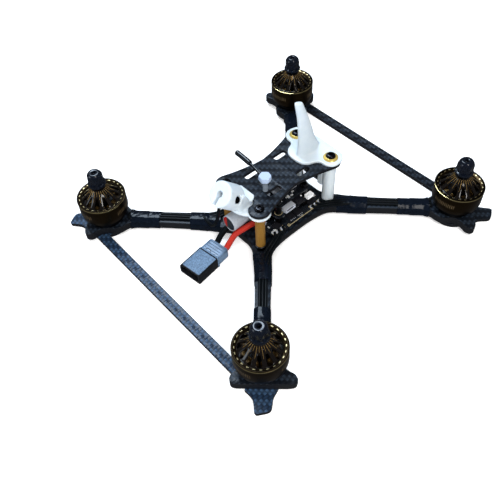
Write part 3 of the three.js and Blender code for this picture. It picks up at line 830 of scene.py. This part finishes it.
def hub_ribs():
    """Fine raised ribs that run up the hub and over its edge."""
    rings = []
    for reach, first in ((8.2, 0), (6.0, 0.5)):
        stations = [4 + (reach - 4) * k / 8 for k in range(9)]
        rib = tube([(r, 0, cone(r) + 0.06) for r in stations], lambda t: 0.19 - 0.1 * t, 6)
        rings.append(around(rib, 12, first))
    return together(rings)


def dash_ring():
    dash = plate([rounded(rectangle(-0.27, 0.27, -0.68, 0.68), 0.24)], 0, 0.3, 0.08)
    return around(dash.at(turn(-20, "Y"), shift(12.35, 0, 17.2)), DASHES, 0.3)


def magnet_ring():
    arc = [turn(a) @ Vector((11.3, 0, 0)) for a in (-10.5, -5, 0, 5, 10.5)]
    back = [turn(a) @ Vector((12.08, 0, 0)) for a in (10.5, 5, 0, -5, -10.5)]
    return around(plate([[p.xy for p in arc + back]], 6.0, 14.6, 0.1), 14)


def stator_core():
    """Twelve laminated teeth, each with a wide tip."""
    side = [(4.9, -1.25), (9.9, -0.85), (10.35, -2.25), (10.95, -2.45), (11.15, -1.2)]
    tooth = plate([[*side, (11.2, 0), *((x, -y) for x, y in side[::-1])]], 5.0, 13.2, 0.06)
    ring = turned([(4.45, 4.9), (5.6, 4.9), (5.6, 13.3), (4.45, 13.3), (4.45, 4.9)], 48)
    return around(tooth, 12).add(ring)


def windings():
    """A coil round each tooth: seven turns of wire that widen towards the tip."""
    coil = Form()
    for layer in range(7):
        radius = 6.3 + layer * 0.56
        half = 0.95 + (radius - 6.0) * 0.2
        path = rounded(rectangle(-half, half, 4.3, 13.9 + 0.25 * sin(layer)), 0.8)
        ring = [Vector((radius, p.x, p.y)) for p in path]
        coil.add(tube(ring + ring[:2], 0.3, 6, ends=False))
    return around(coil, 12)


def motor_base():
    """The flange under the stator, with four open arms and the bearing tube."""
    disc = [circle(0, 0, 10.2, 64), circle(0, 0, 4.2, 32)]
    for i in range(8):
        spin = Matrix.Rotation(TURN * (i + 0.5) / 8, 2)
        disc.append([spin @ p for p in rounded([(5.9, -0.9), (8.6, -1.7), (8.6, 1.7), (5.9, 0.9)], 0.6)])
    flange = plate(disc, 0.02, 2.4, 0.2)
    column = turned([(2.85, 0.3), (4.6, 0.3), (4.6, 2.6), (4.2, 3.2), (4.2, 13.7), (2.85, 13.7),
                     (2.85, 0.3)], 48)
    return flange.add(column)


NUT_PROFILE = [
    (2.6, 26.85), (4.9, 26.85), (5.2, 27.0), (5.2, 27.9), (5.0, 28.35), (4.75, 28.6), (4.7, 29.0),
    (4.7, 32.4), (4.55, 33.2), (4.2, 34.0), (3.6, 34.9), (3.15, 35.35), (2.9, 35.55), (2.6, 35.6),
    (1.5, 35.6), (1.2, 35.45), (1.1, 35.2), (1.1, 34.3), (2.5, 34.28), (2.6, 26.85),
]


def base_screws():
    """The ends of the four motor screws, seen from below in their holes."""
    screw = turned([(1.55, 0.25), (1.55, 0.6), (1.3, 0.9), (1.3, 7.4)], 20)
    angles = [ARM_ANGLE + pi / 4 + i * pi / 2 for i in range(4)]
    return together(screw.at(shift(8 * cos(a), 8 * sin(a))) for a in angles)


def make_motors():
    rotor = {
        "bell": (turned(BELL_PROFILE, 128), "bell", "bell"),
        "rim": (turned(RIM_PROFILE, 128), "rim", None),
        "spokes": (spoke_disc(), "spoke", None),
        "hub": (turned(HUB_PROFILE, 64), "spoke", None),
        "hub_ribs": (hub_ribs(), "rib", None),
        "dashes": (dash_ring(), "dash", None),
        "magnets": (magnet_ring(), "magnet", None),
        "axle": (turned([(2.4, 0.4), (2.5, 0.5), (2.5, 34.1), (2.4, 34.2), (1.0, 34.2), (0.9, 34.1),
                         (0.9, 30.5)], 40), "steel", "shaft"),
        "nut": (turned(NUT_PROFILE, 96, 4.15, above=28.5), "nut", "prop_nut"),
    }
    fixed = {
        "base": (motor_base(), "anodised", "motor_base"),
        "core": (stator_core(), "core", "stator"),
        "windings": (windings(), "winding", None),
    }
    screws = base_screws()
    shared = {}
    for name, (sx, sy) in CORNERS.items():
        place = Vector((sx * MOTOR.x, sy * MOTOR.y, FRAME_TOP))
        for body, parts in ((f"rotor_{name}", rotor), ("airframe", fixed)):
            for part, (form, look, node) in parts.items():
                nodes = [f"{node}_{name}"] if node else []
                made = piece(f"{part}_{name}_look", form, look, body, nodes, at=place,
                             angle=30, shared=shared.get(part))
                shared[part] = made.data
        piece(f"motor_screws_{name}", screws.at(flip(sx, sy)), "screw", at=(*place.xy, 0))


# ---------------------------------------------------------------- posts, screws and washers


def button_screw(under):
    """A button head with a hexagon socket."""
    head = [(2.75, 0), (2.8, 0.15), (2.75, 0.55), (2.45, 1.05), (2.0, 1.38), (1.55, 1.5)]
    socket = [(1.08, 1.5), (1.02, 1.4), (1.02, 0.55), (0.5, 0.45)]
    angles = [TURN * i / 48 for i in range(48)]
    rings = [[(r * cos(a), r * sin(a), z) for a in angles] for r, z in head]
    rings += [[(hexagon(r, a) * cos(a), hexagon(r, a) * sin(a), z) for a in angles] for r, z in socket]
    return skin(rings).at(shift(z=under))


def make_posts():
    for name, (sx, sy) in CORNERS.items():
        spot = (sx * POST.x, sy * POST.y, 0)
        front = sy > 0
        top = high(f"standoff_{name}").z
        if front:
            post = turned([(1.7, FRAME_TOP), (2.4, FRAME_TOP), (2.5, FRAME_TOP + 0.1), (2.5, top - 0.1),
                           (2.4, top), (1.7, top), (1.7, FRAME_TOP)], 40)
        else:
            seat = FRAME_TOP + 3
            post = turned([(1.7, seat), (2.45, seat), (2.45, seat + 0.3), (2.75, seat + 0.5),
                           (2.75, top - 0.9), (2.5, top - 0.75), (2.5, top), (1.7, top), (1.7, seat)], 48)
            washer = turned([(1.7, seat - 0.5), (3.0, seat - 0.5), (3.1, seat - 0.4), (3.1, seat - 0.1),
                             (3.0, seat), (1.7, seat), (1.7, seat - 0.5)], 48)
            piece(f"post_washer_{name}", washer, "can", at=spot)
            lock = turned([(1.7, FRAME_TOP), (2.9, FRAME_TOP), (3.1, FRAME_TOP + 0.25), (3.1, seat - 0.75),
                           (2.9, seat - 0.5), (1.7, seat - 0.5), (1.7, FRAME_TOP)], 48, 2.75)
            piece(f"post_nut_{name}", lock, "screw", at=spot, stands_for=[f"standoff_{name}"])
        piece(f"post_{name}", post, "anodised" if front else "knurl", at=spot,
              stands_for=[f"standoff_{name}"])
        under = high("brass_washer_left").z if front else PLATE_TOP
        screw = button_screw(under)
        screw.add(turned([(1.35, under - 9), (1.35, under + 0.1)], 24))
        piece(f"button_screw_{name}", screw, "screw", at=spot, angle=40, stands_for=[f"top_screw_{name}"])
    foot, top = low("brass_washer_left").z, high("brass_washer_left").z
    ring = turned([(1.75, foot), (4.1, foot), (4.2, foot + 0.1), (4.2, foot + 0.3), (4.05, foot + 0.45),
                   (3.15, top + 0.25), (3.0, top + 0.3), (2.9, top + 0.2), (2.85, top), (1.75, top),
                   (1.75, foot)], 64)
    for side, sx in SIDES:
        piece(f"washer_{side}", ring, "brass", at=(sx * POST.x, POST.y, 0),
              stands_for=[f"brass_washer_{side}"])


# ---------------------------------------------------------------- printed mounts


def lobe(first, last):
    """The flange's round corner at a post, between two angles in degrees."""
    angles = [radians(a) for a in range(first, last, -6)]
    return [Vector((POST.x + 6.3 * cos(a), POST.y + 6.3 * sin(a))) for a in angles]


def mirrored(half):
    """An outline from its right half, whose two ends lie on the middle line."""
    return half + [Vector((-p.x, p.y)) for p in reversed(half[1:-1])]


def make_front_fin():
    z0 = PLATE_TOP
    z1 = low("brass_washer_left").z
    half = spline([(0, 34.8), (6, 34.5), (12, 34.3), (16, 33.6), (18.6, 31.6)], 4)
    half += lobe(20, -76)
    half += spline([(14.0, 20.6), (11.4, 20.3), (9.6, 18.2), (8.4, 15.2), (5.6, 12.6), (2.4, 11.7),
                    (0, 11.6)], 4)
    holes = [circle(sx * POST.x, POST.y, 1.75, 24) for sx in (-1, 1)]
    flange = plate([mirrored(half), *holes], z0 + 0.03, z1 + 0.1, 0.2)
    sections = [
        (z0 + 0.5, 13.4, 32.4, 3.8, 0), (z1 + 1.5, 14.3, 30.4, 3.0, 0), (49, 14.8, 27.4, 2.5, 0),
        (57, 14.6, 24.7, 2.2, 0), (66, 13.8, 21.6, 1.9, 0.05), (76.6, 11.8, 17.4, 1.6, 0.2),
        (78.6, 11.4, 16.6, 1.1, 0.36),
    ]
    shape = spline([(z, rear, nose) for z, rear, nose, _, _ in sections], 4)
    detail = spline([(wide, slope) for *_, wide, slope in sections], 4)
    rings = []
    for (z, rear, nose), (wide, slope) in zip(shape, detail):
        ring = []
        for i in range(40):
            reach = (nose - rear) / 2 * sin(TURN * i / 40)
            ring.append((wide * cos(TURN * i / 40), (rear + nose) / 2 + reach, z - slope * reach))
        rings.append(ring)
    fin = skin(rings)
    piece("fin_mount_print", softened(solid([flange, fin]), 0.32, 6), "tpu",
          stands_for=["front_fin_mount"], angle=70)


SOCKET = Vector((0, -41.85, 51.4))


def make_rear_mount():
    z0 = FLANGE_BOTTOM
    half = spline([(0, 36.6), (5, 36.2), (9.4, 34.2)], 3)
    half += lobe(112, -112)
    half += spline([(9.0, 19.4), (4, 20.2), (0, 20.4)], 3)
    outline = mirrored([Vector((p.x, -p.y)) for p in half])
    holes = [circle(sx * POST.x, -POST.y, 1.75, 24) for sx in (-1, 1)]
    flange = plate([outline, *holes], z0, PLATE_BOTTOM - 0.02, 0.15)
    edge = -25.75
    side = [(-35.4, 36.5), (edge, 36.5), (edge, 40.9), (-27.4, 40.9), (-28.6, 43.4), (-30.4, 46.8),
            (-33, 47.6), (-35.4, 45)]
    rear = skin([[(x, y, z) for y, z in side] for x in (-6.8, 6.8)])
    half_tab = [(6.8, -30), (6.8, -27.7), (7.4, -26.4), (6.4, -24.3), (5.1, -23)]
    whole_tab = half_tab + [(-x, y) for x, y in reversed(half_tab)]
    tab = plate([whole_tab], PLATE_TOP + 0.05, PLATE_TOP + 1.6, 0.2)
    place = shift(*SOCKET) @ turn(45, "X")
    barrel = turned([(0.01, -13.5), (6.6, -13.5), (7.2, -12), (7.2, -0.7), (7.0, -0.2), (6.6, 0),
                     (0.01, 0)], 72)
    bore = turned([(0.01, -11), (1.8, -11), (1.8, 1), (0.01, 1)], 32)
    slot = block(-0.95, 0.95, -9, 0, -9, 1)
    sideways = turn(54, "Y"), shift(1.3, -35.1, 43.1)
    clamp = turned([(0.01, 1.0), (2.0, 1.0), (2.0, 5.6), (2.4, 6.3), (2.4, 12), (0.01, 12)], 32)
    room = block(-20, 20, edge, 0, PLATE_BOTTOM, PLATE_TOP)
    body = solid([flange, rear, tab, barrel.at(place)],
                 [bore.at(place), slot.at(place), clamp.at(*sideways), room])
    piece("socket_mount_print", softened(body, 0.28, 5), "tpu", stands_for=["rear_socket_mount"], angle=70)
    screw = turned([(1.9, 1.1), (1.9, 4.9), (1.7, 5.1), (1.0, 5.1), (0.9, 3.9)], 24)
    piece("clamp_screw", screw.at(*sideways), "screw")
    feed = [(-7, -38, 33), (-8, -38.2, 28.7), (-9.5, -38.4, 22), (-12.5, -38.6, 15), (-16.5, -38.2, 10.8),
            (-21, -37.4, 9.2), (-26.5, -36.6, 8.9)]
    piece("video_antenna_feed", tube(spline(feed, 5), 0.95, 12), "black", angle=60)


CAMERA = Vector((0, 28.6, 25.5))


def make_camera():
    sleeve = turned([(2.8, 9.4), (3.5, 9.4), (3.6, 9.5), (3.6, 37.1), (3.5, 37.2), (2.8, 37.2),
                     (2.8, 9.4)], 48)
    cheek = block(7.4, 10.6, POST.y - 3, POST.y + 5, CAMERA.z - 6, CAMERA.z + 6)
    pivot = turned([(0.01, 6), (1.35, 6), (1.35, 12), (0.01, 12)], 24)
    room = turned([(0.01, 5), (2.8, 5), (2.8, 40), (0.01, 40)], 48)
    post = shift(POST.x, POST.y)
    body = solid([sleeve.at(post), cheek], [pivot.at(turn(90, "Y"), shift(*CAMERA)), room.at(post)])
    for side, sx in SIDES:
        piece(f"cheek_{side}_print", body.at(flip(sx)), "tpu", stands_for=[f"camera_cheek_{side}"],
              bevel=0.3)
    tilt = (turn(25, "X"), shift(*CAMERA))
    shell = block(-7, 7, -5, 3.5, -7, 7)
    piece("camera_shell", shell.at(*tilt), "plastic", "camera", ["camera_body"], bevel=0.8)
    holder = turned([(0.01, 3), (5.4, 3), (5.4, 5.2), (4.6, 5.4), (0.01, 5.4)], 48)
    knobs = turned([(1.05, -9.6), (1.05, 9.6)], 24).at(turn(90, "Y"), shift(*CAMERA))
    piece("camera_pivots", knobs, "screw", "camera")
    barrel = turned([(4.3, 5), (4.4, 6), (5.2, 6.2), (5.2, 9.2), (4.9, 10.4), (4.3, 10.5), (4.1, 9.8),
                     (3.9, 9.3), (0.01, 9.2)], 64)
    face = turn(-90, "X")
    piece("camera_barrel", together([holder, barrel]).at(face, *tilt), "plastic", "camera", ["camera_lens"])
    glass = turned([(4.0, 9.3), (3.6, 9.9), (2.8, 10.4), (1.6, 10.8), (0.01, 10.95)], 48)
    piece("camera_glass", glass.at(face, *tilt), "glass", "camera", angle=80)


# ---------------------------------------------------------------- electronics


# Half the distance between the bolts of the stack.
STACK = 10


def solder(x, y, z, size):
    """A small dome of solder."""
    profile = [(1, 0), (0.92, 0.35), (0.6, 0.7), (0.01 / size, 0.85)]
    return turned([(size * wide, z + size * tall) for wide, tall in profile], 16).at(shift(x, y))


def board(half_x, half_y, z0, z1, notch=2.0):
    outline = [(-half_x, -half_y + notch), (-half_x + notch, -half_y), (half_x - notch, -half_y),
               (half_x, -half_y + notch), (half_x, half_y - notch), (half_x - notch, half_y),
               (-half_x + notch, half_y), (-half_x, half_y - notch)]
    holes = [circle(sx * STACK, sy * STACK, 1.35, 20) for sx, sy in CORNERS.values()]
    return plate([rounded(outline, 0.8), *holes], z0, z1, 0.06)


def hole_rings(z):
    """Gold rings round the four mounting holes, on top of a board."""
    ring = plate([circle(0, 0, 2.3, 24), circle(0, 0, 1.5, 24)], z, z + 0.06, 0.01)
    return together(ring.at(shift(sx * STACK, sy * STACK)) for sx, sy in CORNERS.values())


def scattered_parts(name, seed, half_x, half_y, z, count, keep_out):
    """Small resistors and capacitors at random places of a board: pale bodies, and their bright ends."""
    chance = random.Random(seed)
    bodies, ends = [], []
    while len(bodies) < count:
        x, y = chance.uniform(-half_x, half_x), chance.uniform(-half_y, half_y)
        if any(a <= x <= b and c <= y <= d for a, b, c, d in keep_out):
            continue
        spin = turn(90 * chance.randint(0, 1))
        long, wide, tall = chance.choice([(0.5, 0.25, 0.35), (0.8, 0.4, 0.45), (1.0, 0.6, 0.7)])
        bodies.append(block(-long * 0.6, long * 0.6, -wide, wide, 0, tall).at(spin, shift(x, y, z)))
        for start, end in ((-long, -long * 0.6), (long * 0.6, long)):
            ends.append(block(start, end, -wide, wide, 0, tall * 0.96).at(spin, shift(x, y, z)))
    piece(f"{name}_small_parts", bodies, "ivory")
    piece(f"{name}_small_ends", ends, "silver")


def chip(x, y, z, wide, deep, tall, pins=0):
    """A chip's body, and its pins on two sides."""
    body = block(-wide / 2, wide / 2, -deep / 2, deep / 2, 0.08, tall)
    legs = []
    for i in range(pins):
        at = -deep / 2 + deep * (i + 0.5) / pins
        for start in (-wide / 2 - 0.5, wide / 2):
            legs.append(block(start, start + 0.5, at - 0.15, at + 0.15, 0, 0.3))
    return body.at(shift(x, y, z)), together(legs).at(shift(x, y, z))


def make_esc():
    z = ESC_TOP
    edge_x, edge_y = high("esc_board").x, high("esc_board").y
    piece("esc_board_mask", board(edge_x, edge_y, z - 1.6, z), "board", stands_for=["esc_board"])
    piece("esc_heat_spreader", block(-6.3, 6.3, -14.3, 14.3, z + 0.1, z + 1.2), "anodised", bevel=0.2)
    bodies, legs = [], []
    for x in (-12.2, 12.2):
        for i in range(6):
            y = -13.5 + 5.4 * i
            if abs(abs(y) - 10) < 3:
                continue
            body, pins = chip(x, y, z, 4.6, 4.4, 1.0, 4)
            bodies.append(body)
            legs.append(pins)
    piece("esc_transistors", bodies, "chip", bevel=0.08)
    piece("esc_pins", legs, "silver")
    keep_out = [(-7, 7, -15, 15), (-15, -9.5, -16, 16), (9.5, 15, -16, 16)]
    scattered_parts("esc", 4, edge_x - 1, edge_y - 1, z, 60, keep_out)
    pads, blobs = [], []
    for sx in (-1, 1):
        for sy in (-1, 1):
            for i in range(3):
                x, y = sx * (edge_x - 1.5), sy * (11.6 + 3.1 * i)
                square = rounded(rectangle(x - 1.3, x + 1.3, y - 1.3, y + 1.3), 0.4)
                pads.append(plate([square], z, z + 0.08, 0.02))
                blobs.append(solder(x, y, z, 1.15))
    for x, y in ((4.9, -17.4), (-12.6, -14.4)):
        blobs.append(solder(x, y, z, 2.1))
    for x, y in ((15.6, -16.4), (16.0, -12.8), (15.4, 18.6), (16.0, 17.0)):
        blobs.append(solder(x, y, z, 0.75))
    piece("esc_pads", pads, "gold")
    piece("esc_solder", blobs, "silver", angle=60)
    rail = [(edge_x + 0.1, -7.7, z - 0.2), (edge_x + 0.15, 4.5, z), (edge_x + 0.1, 16.7, z - 0.2)]
    trace = tube(spline(rail, 6), 0.19, 10)
    for x, y, _ in (rail[0], rail[-1]):
        ring = [(*p, z + 0.1) for p in circle(x - 0.3, y, 0.75, 16)]
        trace.add(tube(ring + ring[:2], 0.18, 8, ends=False))
    piece("esc_edge_trace", trace, "gold", angle=60)
    prints = [block(x, x + 0.35, y, y + 0.35, z, z + 0.03) for x, y in
              ((13.6, 1.2), (14.3, 1.2), (13.6, 1.9), (14.6, 2.1), (15.3, 1.6), (15.6, 2.4), (16.0, 3.1))]
    piece("esc_print", prints, "white")


def make_flight_controller():
    z = FC_TOP
    half = 13.5
    piece("fc_board_mask", board(half, half, z - 1.2, z), "board", stands_for=["flight_controller"])
    piece("fc_hole_rings", hole_rings(z), "gold")
    processor, pins = chip(0, 0, z, 7.4, 7.4, 1.1, 12)
    gyro, gyro_pins = chip(-6.5, 6.0, z, 3.0, 3.0, 0.9, 5)
    piece("fc_chips", [processor, gyro], "chip", bevel=0.08)
    piece("fc_chip_pins", [pins, gyro_pins], "silver")
    scattered_parts("fc", 9, half - 1, half - 1, z, 50, [(-5, 5, -5, 5), (6, 14, -12, 16)])
    usb = solid([block(8.2, 13.9, -7.6, -0.2, z + 0.05, z + 2.7)],
                [block(13.0, 14.5, -7.0, -0.8, z + 0.5, z + 2.3)])
    piece("fc_usb_shell", usb, "silver", bevel=0.45)
    piece("fc_usb_tongue", block(12.6, 13.6, -6.2, -1.6, z + 1.1, z + 1.7), "plastic")
    tabs = [block(8.6 + 1.6 * i, 9.3 + 1.6 * i, -7.9, 0.1, z, z + 0.5) for i in range(3)]
    piece("fc_usb_tabs", tabs, "silver")
    slots = [block(9.0, 9.8, -6.4 + 2.1 * i, -5.0 + 2.1 * i, z + 2.69, z + 2.74) for i in range(3)]
    piece("fc_usb_slots", slots, "plastic")
    header = solid([block(11.8, 14.8, 8.8, 13.4, z + 0.1, z + 2.4)],
                   [block(12.4, 15.6, 9.3 + 0.95 * i, 9.75 + 0.95 * i, z + 0.6, z + 3) for i in range(4)])
    piece("fc_header", header, "white", bevel=0.1)
    piece("fc_wire_plug", block(5.2, 14.8, 0.6, 5.6, z + 1.3, z + 4.6), "plastic", bevel=0.3)
    piece("fc_plug_light", solder(12.6, 5.2, z + 4.55, 0.5), "white")
    loom = []
    for i, (dx, dz) in enumerate(((0, 0), (0.5, 0.6), (-0.4, 1.1), (0.2, 1.7))):
        path = [(5.4, 1.4 + i, z + 2.6), (1.0 + dx, 2 + i, z + 3.2 + dz), (-4 - dx, 5 - i, z + 3 + dz),
                (-9, 6.5 - i, z + 1.6), (-11.2, 7 - i, z + 0.3)]
        loom.append(tube(spline(path, 6), 0.42, 8))
    piece("fc_loom", loom, "black", angle=60)


def make_transmitter():
    z0 = low("video_transmitter").z
    z = z0 + 1
    piece("vtx_board_mask", board(12.5, 12.5, z0, z), "board", stands_for=["video_transmitter"])
    piece("vtx_shield", block(-7.4, 7.4, -6.9, 6.9, z + 0.02, z + 2.6), "silver", bevel=0.35)
    scattered_parts("vtx", 21, 11.4, 11.4, z, 34, [(-8, 8, -7.5, 7.5)])
    gaps = [(FRAME_TOP + 0.02, ESC_TOP - 1.62), (ESC_TOP + 0.02, FC_TOP - 1.22), (FC_TOP + 0.02, z0 - 0.02)]
    for name, (sx, sy) in CORNERS.items():
        place = shift(sx * STACK, sy * STACK)
        bolt = [
            turned([(1.0, 2.6), (1.0, 30.0)], 20),
            turned([(1.0, z + 0.02), (2.0, z + 0.02), (2.0, 29.6), (1.7, 30), (1.0, 30)], 36, 1.75),
            turned([(1.9, 0.95), (1.9, 2.45)], 24),
        ]
        spacers = [turned([(1.0, a), (2.0, a), (2.0, b), (1.0, b)], 24) for a, b in gaps]
        piece(f"stack_bolt_{name}_look", together(bolt).at(place), "steel",
              stands_for=[f"stack_bolt_{name}"], angle=40)
        piece(f"stack_spacers_{name}", together(spacers).at(place), "anodised")


def make_capacitor():
    rear, front = low("capacitor").y, high("capacitor").y
    centre = middle("capacitor")
    length = front - rear
    lay = (turn(-90, "X"), shift(centre.x, rear, centre.z))
    can = turned([(4.45, 0.3), (4.75, 0.02), (4.95, 0.25), (5.0, 0.7), (5.0, length - 2.7),
                  (4.9, length - 2.4), (4.55, length - 1.95), (4.9, length - 1.5), (5.0, length - 1.2),
                  (4.95, length - 0.3), (4.6, length), (0.01, length)], 72)
    piece("capacitor_can", can.at(*lay), "sleeve", stands_for=["capacitor"], angle=50)
    face = turned([(4.5, 0.25), (4.3, 0.1), (0.01, 0.1)], 64)
    piece("capacitor_face", face.at(*lay), "can")
    # Painted reflection: a red segment on the metal face stands in for the red lead reflected in it.
    angles = [radians(a) for a in range(112, 249, 8)]
    mark = plate([[(4.4 * cos(a), 4.4 * sin(a)) for a in angles]], -0.02, 0.08, 0.02)
    piece("capacitor_painted_reflection", mark.at(*lay), "painted_red_reflection")
    legs = []
    for dx in (-2, 2):
        path = [(centre.x + dx, front - 0.1, centre.z), (centre.x + dx, front + 1.5, centre.z - 0.3),
                (centre.x + dx * 1.4, front + 2.6, centre.z - 2.4),
                (centre.x + dx * 1.5, front + 2.8, ESC_TOP + 0.2)]
        legs.append(tube(spline(path, 5), 0.35, 8))
    piece("capacitor_legs", legs, "silver", angle=60)


def make_receiver_antenna():
    head = turned([(1.2, 47.1), (3.2, 47.1), (3.45, 47.25), (3.45, 49.75), (3.2, 50), (0.01, 50)], 72, 2.98)
    shank = [(1.4, PLATE_BOTTOM - 2)]
    thread = PLATE_BOTTOM - 1.8
    while thread < 46.9:
        shank += [(1.4, thread), (1.25, thread + 0.25)]
        thread += 0.5
    shank.append((1.4, 47.2))
    lock = turned([(1.5, 35.1), (2.4, 35.1), (2.6, 35.3), (2.6, 37), (2.4, 37.2), (1.5, 37.2)], 36, 2.25)
    spot = (BOLT.x, BOLT.y, 0)
    piece("antenna_bolt", head.at(turn(18)), "nylon", at=spot, stands_for=["nylon_bolt"], angle=40)
    # The shank and lock nut take the darker copy of the nylon: painted shade; the head keeps the light blue
    # nylon.
    piece("antenna_bolt_thread", [turned(shank, 32), lock], "nylon_thread_painted_shade", at=spot, angle=40)
    root = Vector((BOLT.x - 1.8, BOLT.y + 0.6, 46.6))
    wire = spline([root, (-2, -13.4, 46.6), (-10.2, -12.2, 46.8)], 8)
    piece("antenna_wire", tube(wire, 0.85, 12), "shrink", angle=60)
    whip = spline([(-9.4, -12.3, 46.75), (-15, -12.1, 47.05), (-21.6, -12, 47.3)], 10)

    def swell(t):
        return 1.55 - 0.35 * max(0, 1 - t * 12) ** 2 - 0.5 * max(0, (t - 0.94) / 0.06) ** 2

    piece("antenna_whip", tube(whip, swell, 24), "shrink", stands_for=["receiver_antenna"], angle=60)


# ---------------------------------------------------------------- battery lead

PLUG = {"x": -3.8, "y": -54.6, "turn": 8, "length": 24.6, "half": 7.6, "height": 8.1}
LEAD_RADIUS = 1.75
RED_ROUTE = [
    (-1.65, -41.65, 4.05), (-1.95, -39.5, 4.3), (-2.1, -36.4, 7.0), (-1.4, -32.6, 11.2),
    (1.5, -28, 15.0), (3.1, -23.4, 16.6), (4.4, -18.9, 16.5), (4.9, -16.4, 15.8),
]
BLACK_ROUTE = [
    (-8.75, -42.6, 4.05), (-9.05, -40.4, 4.3), (-9.5, -36.8, 7.4), (-9.2, -31.0, 10.8),
    (-9.2, -24.9, 13), (-12, -19.6, 16), (-12.6, -13.2, 15.8),
]


def lead(name, route, look, node):
    """A silicone lead on a smooth curve through its route."""
    points = [p * MM for p in spline(route, 4)]
    curve = bpy.data.curves.new(name, "CURVE")
    curve.dimensions = "3D"
    curve.bevel_depth = LEAD_RADIUS * MM
    curve.bevel_resolution = 6
    curve.use_fill_caps = True
    line = curve.splines.new("POLY")
    line.points.add(len(points) - 1)
    for point, p in zip(line.points, points):
        point.co = (*p, 1)
    curve.materials.append(LOOKS[look].material)
    made = linked(name, curve)
    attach(made, "airframe")
    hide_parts(node)
    return made


def make_plug():
    half, height, length = PLUG["half"], PLUG["height"], PLUG["length"]
    place = shift(PLUG["x"], PLUG["y"]) @ turn(PLUG["turn"])
    upright = turn(90, "X")

    def section(inset):
        shape = [(-half + inset, inset), (half - inset, inset), (half - inset, height - inset),
                 (-half + 2.4, height - inset), (-half + inset, height - 2.4)]
        return rounded(shape, 0.9)

    body = plate([section(0)], -3.2, length / 2, 0.2)
    hollow = plate([rounded([(-half + 1.2, 1.2), (half - 1.2, 1.2), (half - 1.2, height - 1.3),
                             (-half + 2.6, height - 1.3), (-half + 1.2, height - 2.8)], 0.5)],
                   length / 2 - 8, length / 2 + 1, 0.05)
    shell = solid([body.at(upright)], [hollow.at(upright)])
    pieces = [piece("plug_shell", shell.at(place), "plug_dark", stands_for=["battery_plug"], angle=40)]
    # The top, the ridge and the cap are coloured blue-grey: painted sheen on the black plug.
    top = plate([rounded(rectangle(-half + 2.3, half - 0.5, 2.4, -length / 2 + 0.5), 0.4)],
                height - 0.06, height + 0.05, 0.04)
    pieces.append(piece("plug_top", top.at(place), "plug", angle=40))
    ridge = plate([section(-0.15)], -4.2, -3.2, 0.15).at(upright)
    pieces.append(piece("plug_ridge", ridge.at(place), "plug", angle=40))
    seam = []
    for k in range(49):
        x = -half + 2.6 + (2 * half - 3.4) * k / 48
        arch = 1.5 * max(0.0, 1 - (x + 1) ** 2 / 3) ** 0.5
        seam.append(Vector((x, 4.3 + 0.14 * sin(2.1 * x) + arch, height - 0.48)))
    pieces.append(piece("plug_seam", tube(seam, 0.2, 8).at(place), "plug_dark", angle=60))
    grooves = [block(-half + 3.2, half - 1.6, y, y + 0.4, height - 0.95, height)
               for y in (5.4, 7.15, 8.9, 10.65)]
    cap = plate([section(0.5)], -length / 2, -3.8, 0.35).at(upright)
    pieces.append(piece("plug_cap", solid([cap], grooves).at(place), "plug_cap", angle=40))
    pins = [turned([(0.01, 2.5), (1.4, 2.5), (1.75, 2.9), (1.75, 8)], 32)
            .at(turn(-90, "X"), shift(x, -length / 2, height / 2), place) for x in (-3.6, 3.6)]
    pieces.append(piece("plug_pins", pins, "gold"))
    return pieces


def make_power_lead():
    plug = make_plug()
    lead("lead_red", RED_ROUTE, "red", "red_lead")
    lead("lead_black", BLACK_ROUTE, "black", "black_lead")


# ---------------------------------------------------------------- camera, light and floor


def make_view():
    data = bpy.data.cameras.new("view")
    data.lens = 44.44
    data.sensor_width = 36
    data.clip_start = 0.01
    eye = linked("view", data)
    eye.location = (0.18119, -0.17052, 0.27885)
    eye.rotation_euler = [radians(a) for a in (38.87, 2.313, 48.20)]
    bpy.context.scene.camera = eye


def soft_light(name, at, aim, size, power, color, mirrored=True):
    data = bpy.data.lights.new(name, "AREA")
    data.shape = "RECTANGLE"
    data.size, data.size_y = size
    data.energy = power
    data.color = color
    lamp = linked(name, data)
    lamp.location = at
    lamp.rotation_euler = (Vector(aim) - Vector(at)).to_track_quat("-Z", "Y").to_euler()
    lamp.visible_glossy = mirrored


def make_studio():
    floor = Form([(-1500, -1500, 0), (1500, -1500, 0), (1500, 1500, 0), (-1500, 1500, 0)], [(0, 1, 2, 3)])
    mesh = floor.mesh("floor")
    pale = Look((0.93, 0.93, 0.93), 0.9, Emission_Strength=0.3, Emission_Color=(1, 1, 1, 1))
    mesh.materials.append(pale.material)
    ground = linked("floor", mesh)
    ground.location.z = -0.0002
    ground.visible_glossy = False
    world = bpy.data.worlds.new("studio")
    world.use_nodes = True
    color, strength = world.node_tree.nodes["Background"].inputs[:2]
    color.default_value = (0.93, 0.96, 1, 1)
    strength.default_value = 0.12
    bpy.context.scene.world = world
    soft_light("key", (0.5, -0.45, 0.9), (0, 0, 0), (1.1, 1.1), 17, (1, 0.98, 0.96), mirrored=False)
    soft_light("glint", (0.62, -0.2, 0.75), (0, 0, 0.02), (0.16, 0.3), 1.6, (1, 0.98, 0.95))
    soft_light("window", (-0.38, -0.9, 0.34), (0, 0, 0.02), (0.36, 0.36), 1.2, (0.8, 0.9, 1))
    soft_light("sky", (-0.42, 0.1, 0.85), (0, 0, 0.02), (0.34, 0.55), 9, (0.7, 0.84, 1))
    bpy.context.scene.view_settings.view_transform = "Standard"


make_view()
make_power_lead()
make_plates()
make_arms()
make_motors()
make_posts()
make_front_fin()
make_rear_mount()
make_camera()
make_esc()
make_flight_controller()
make_transmitter()
make_capacitor()
make_receiver_antenna()
make_studio()
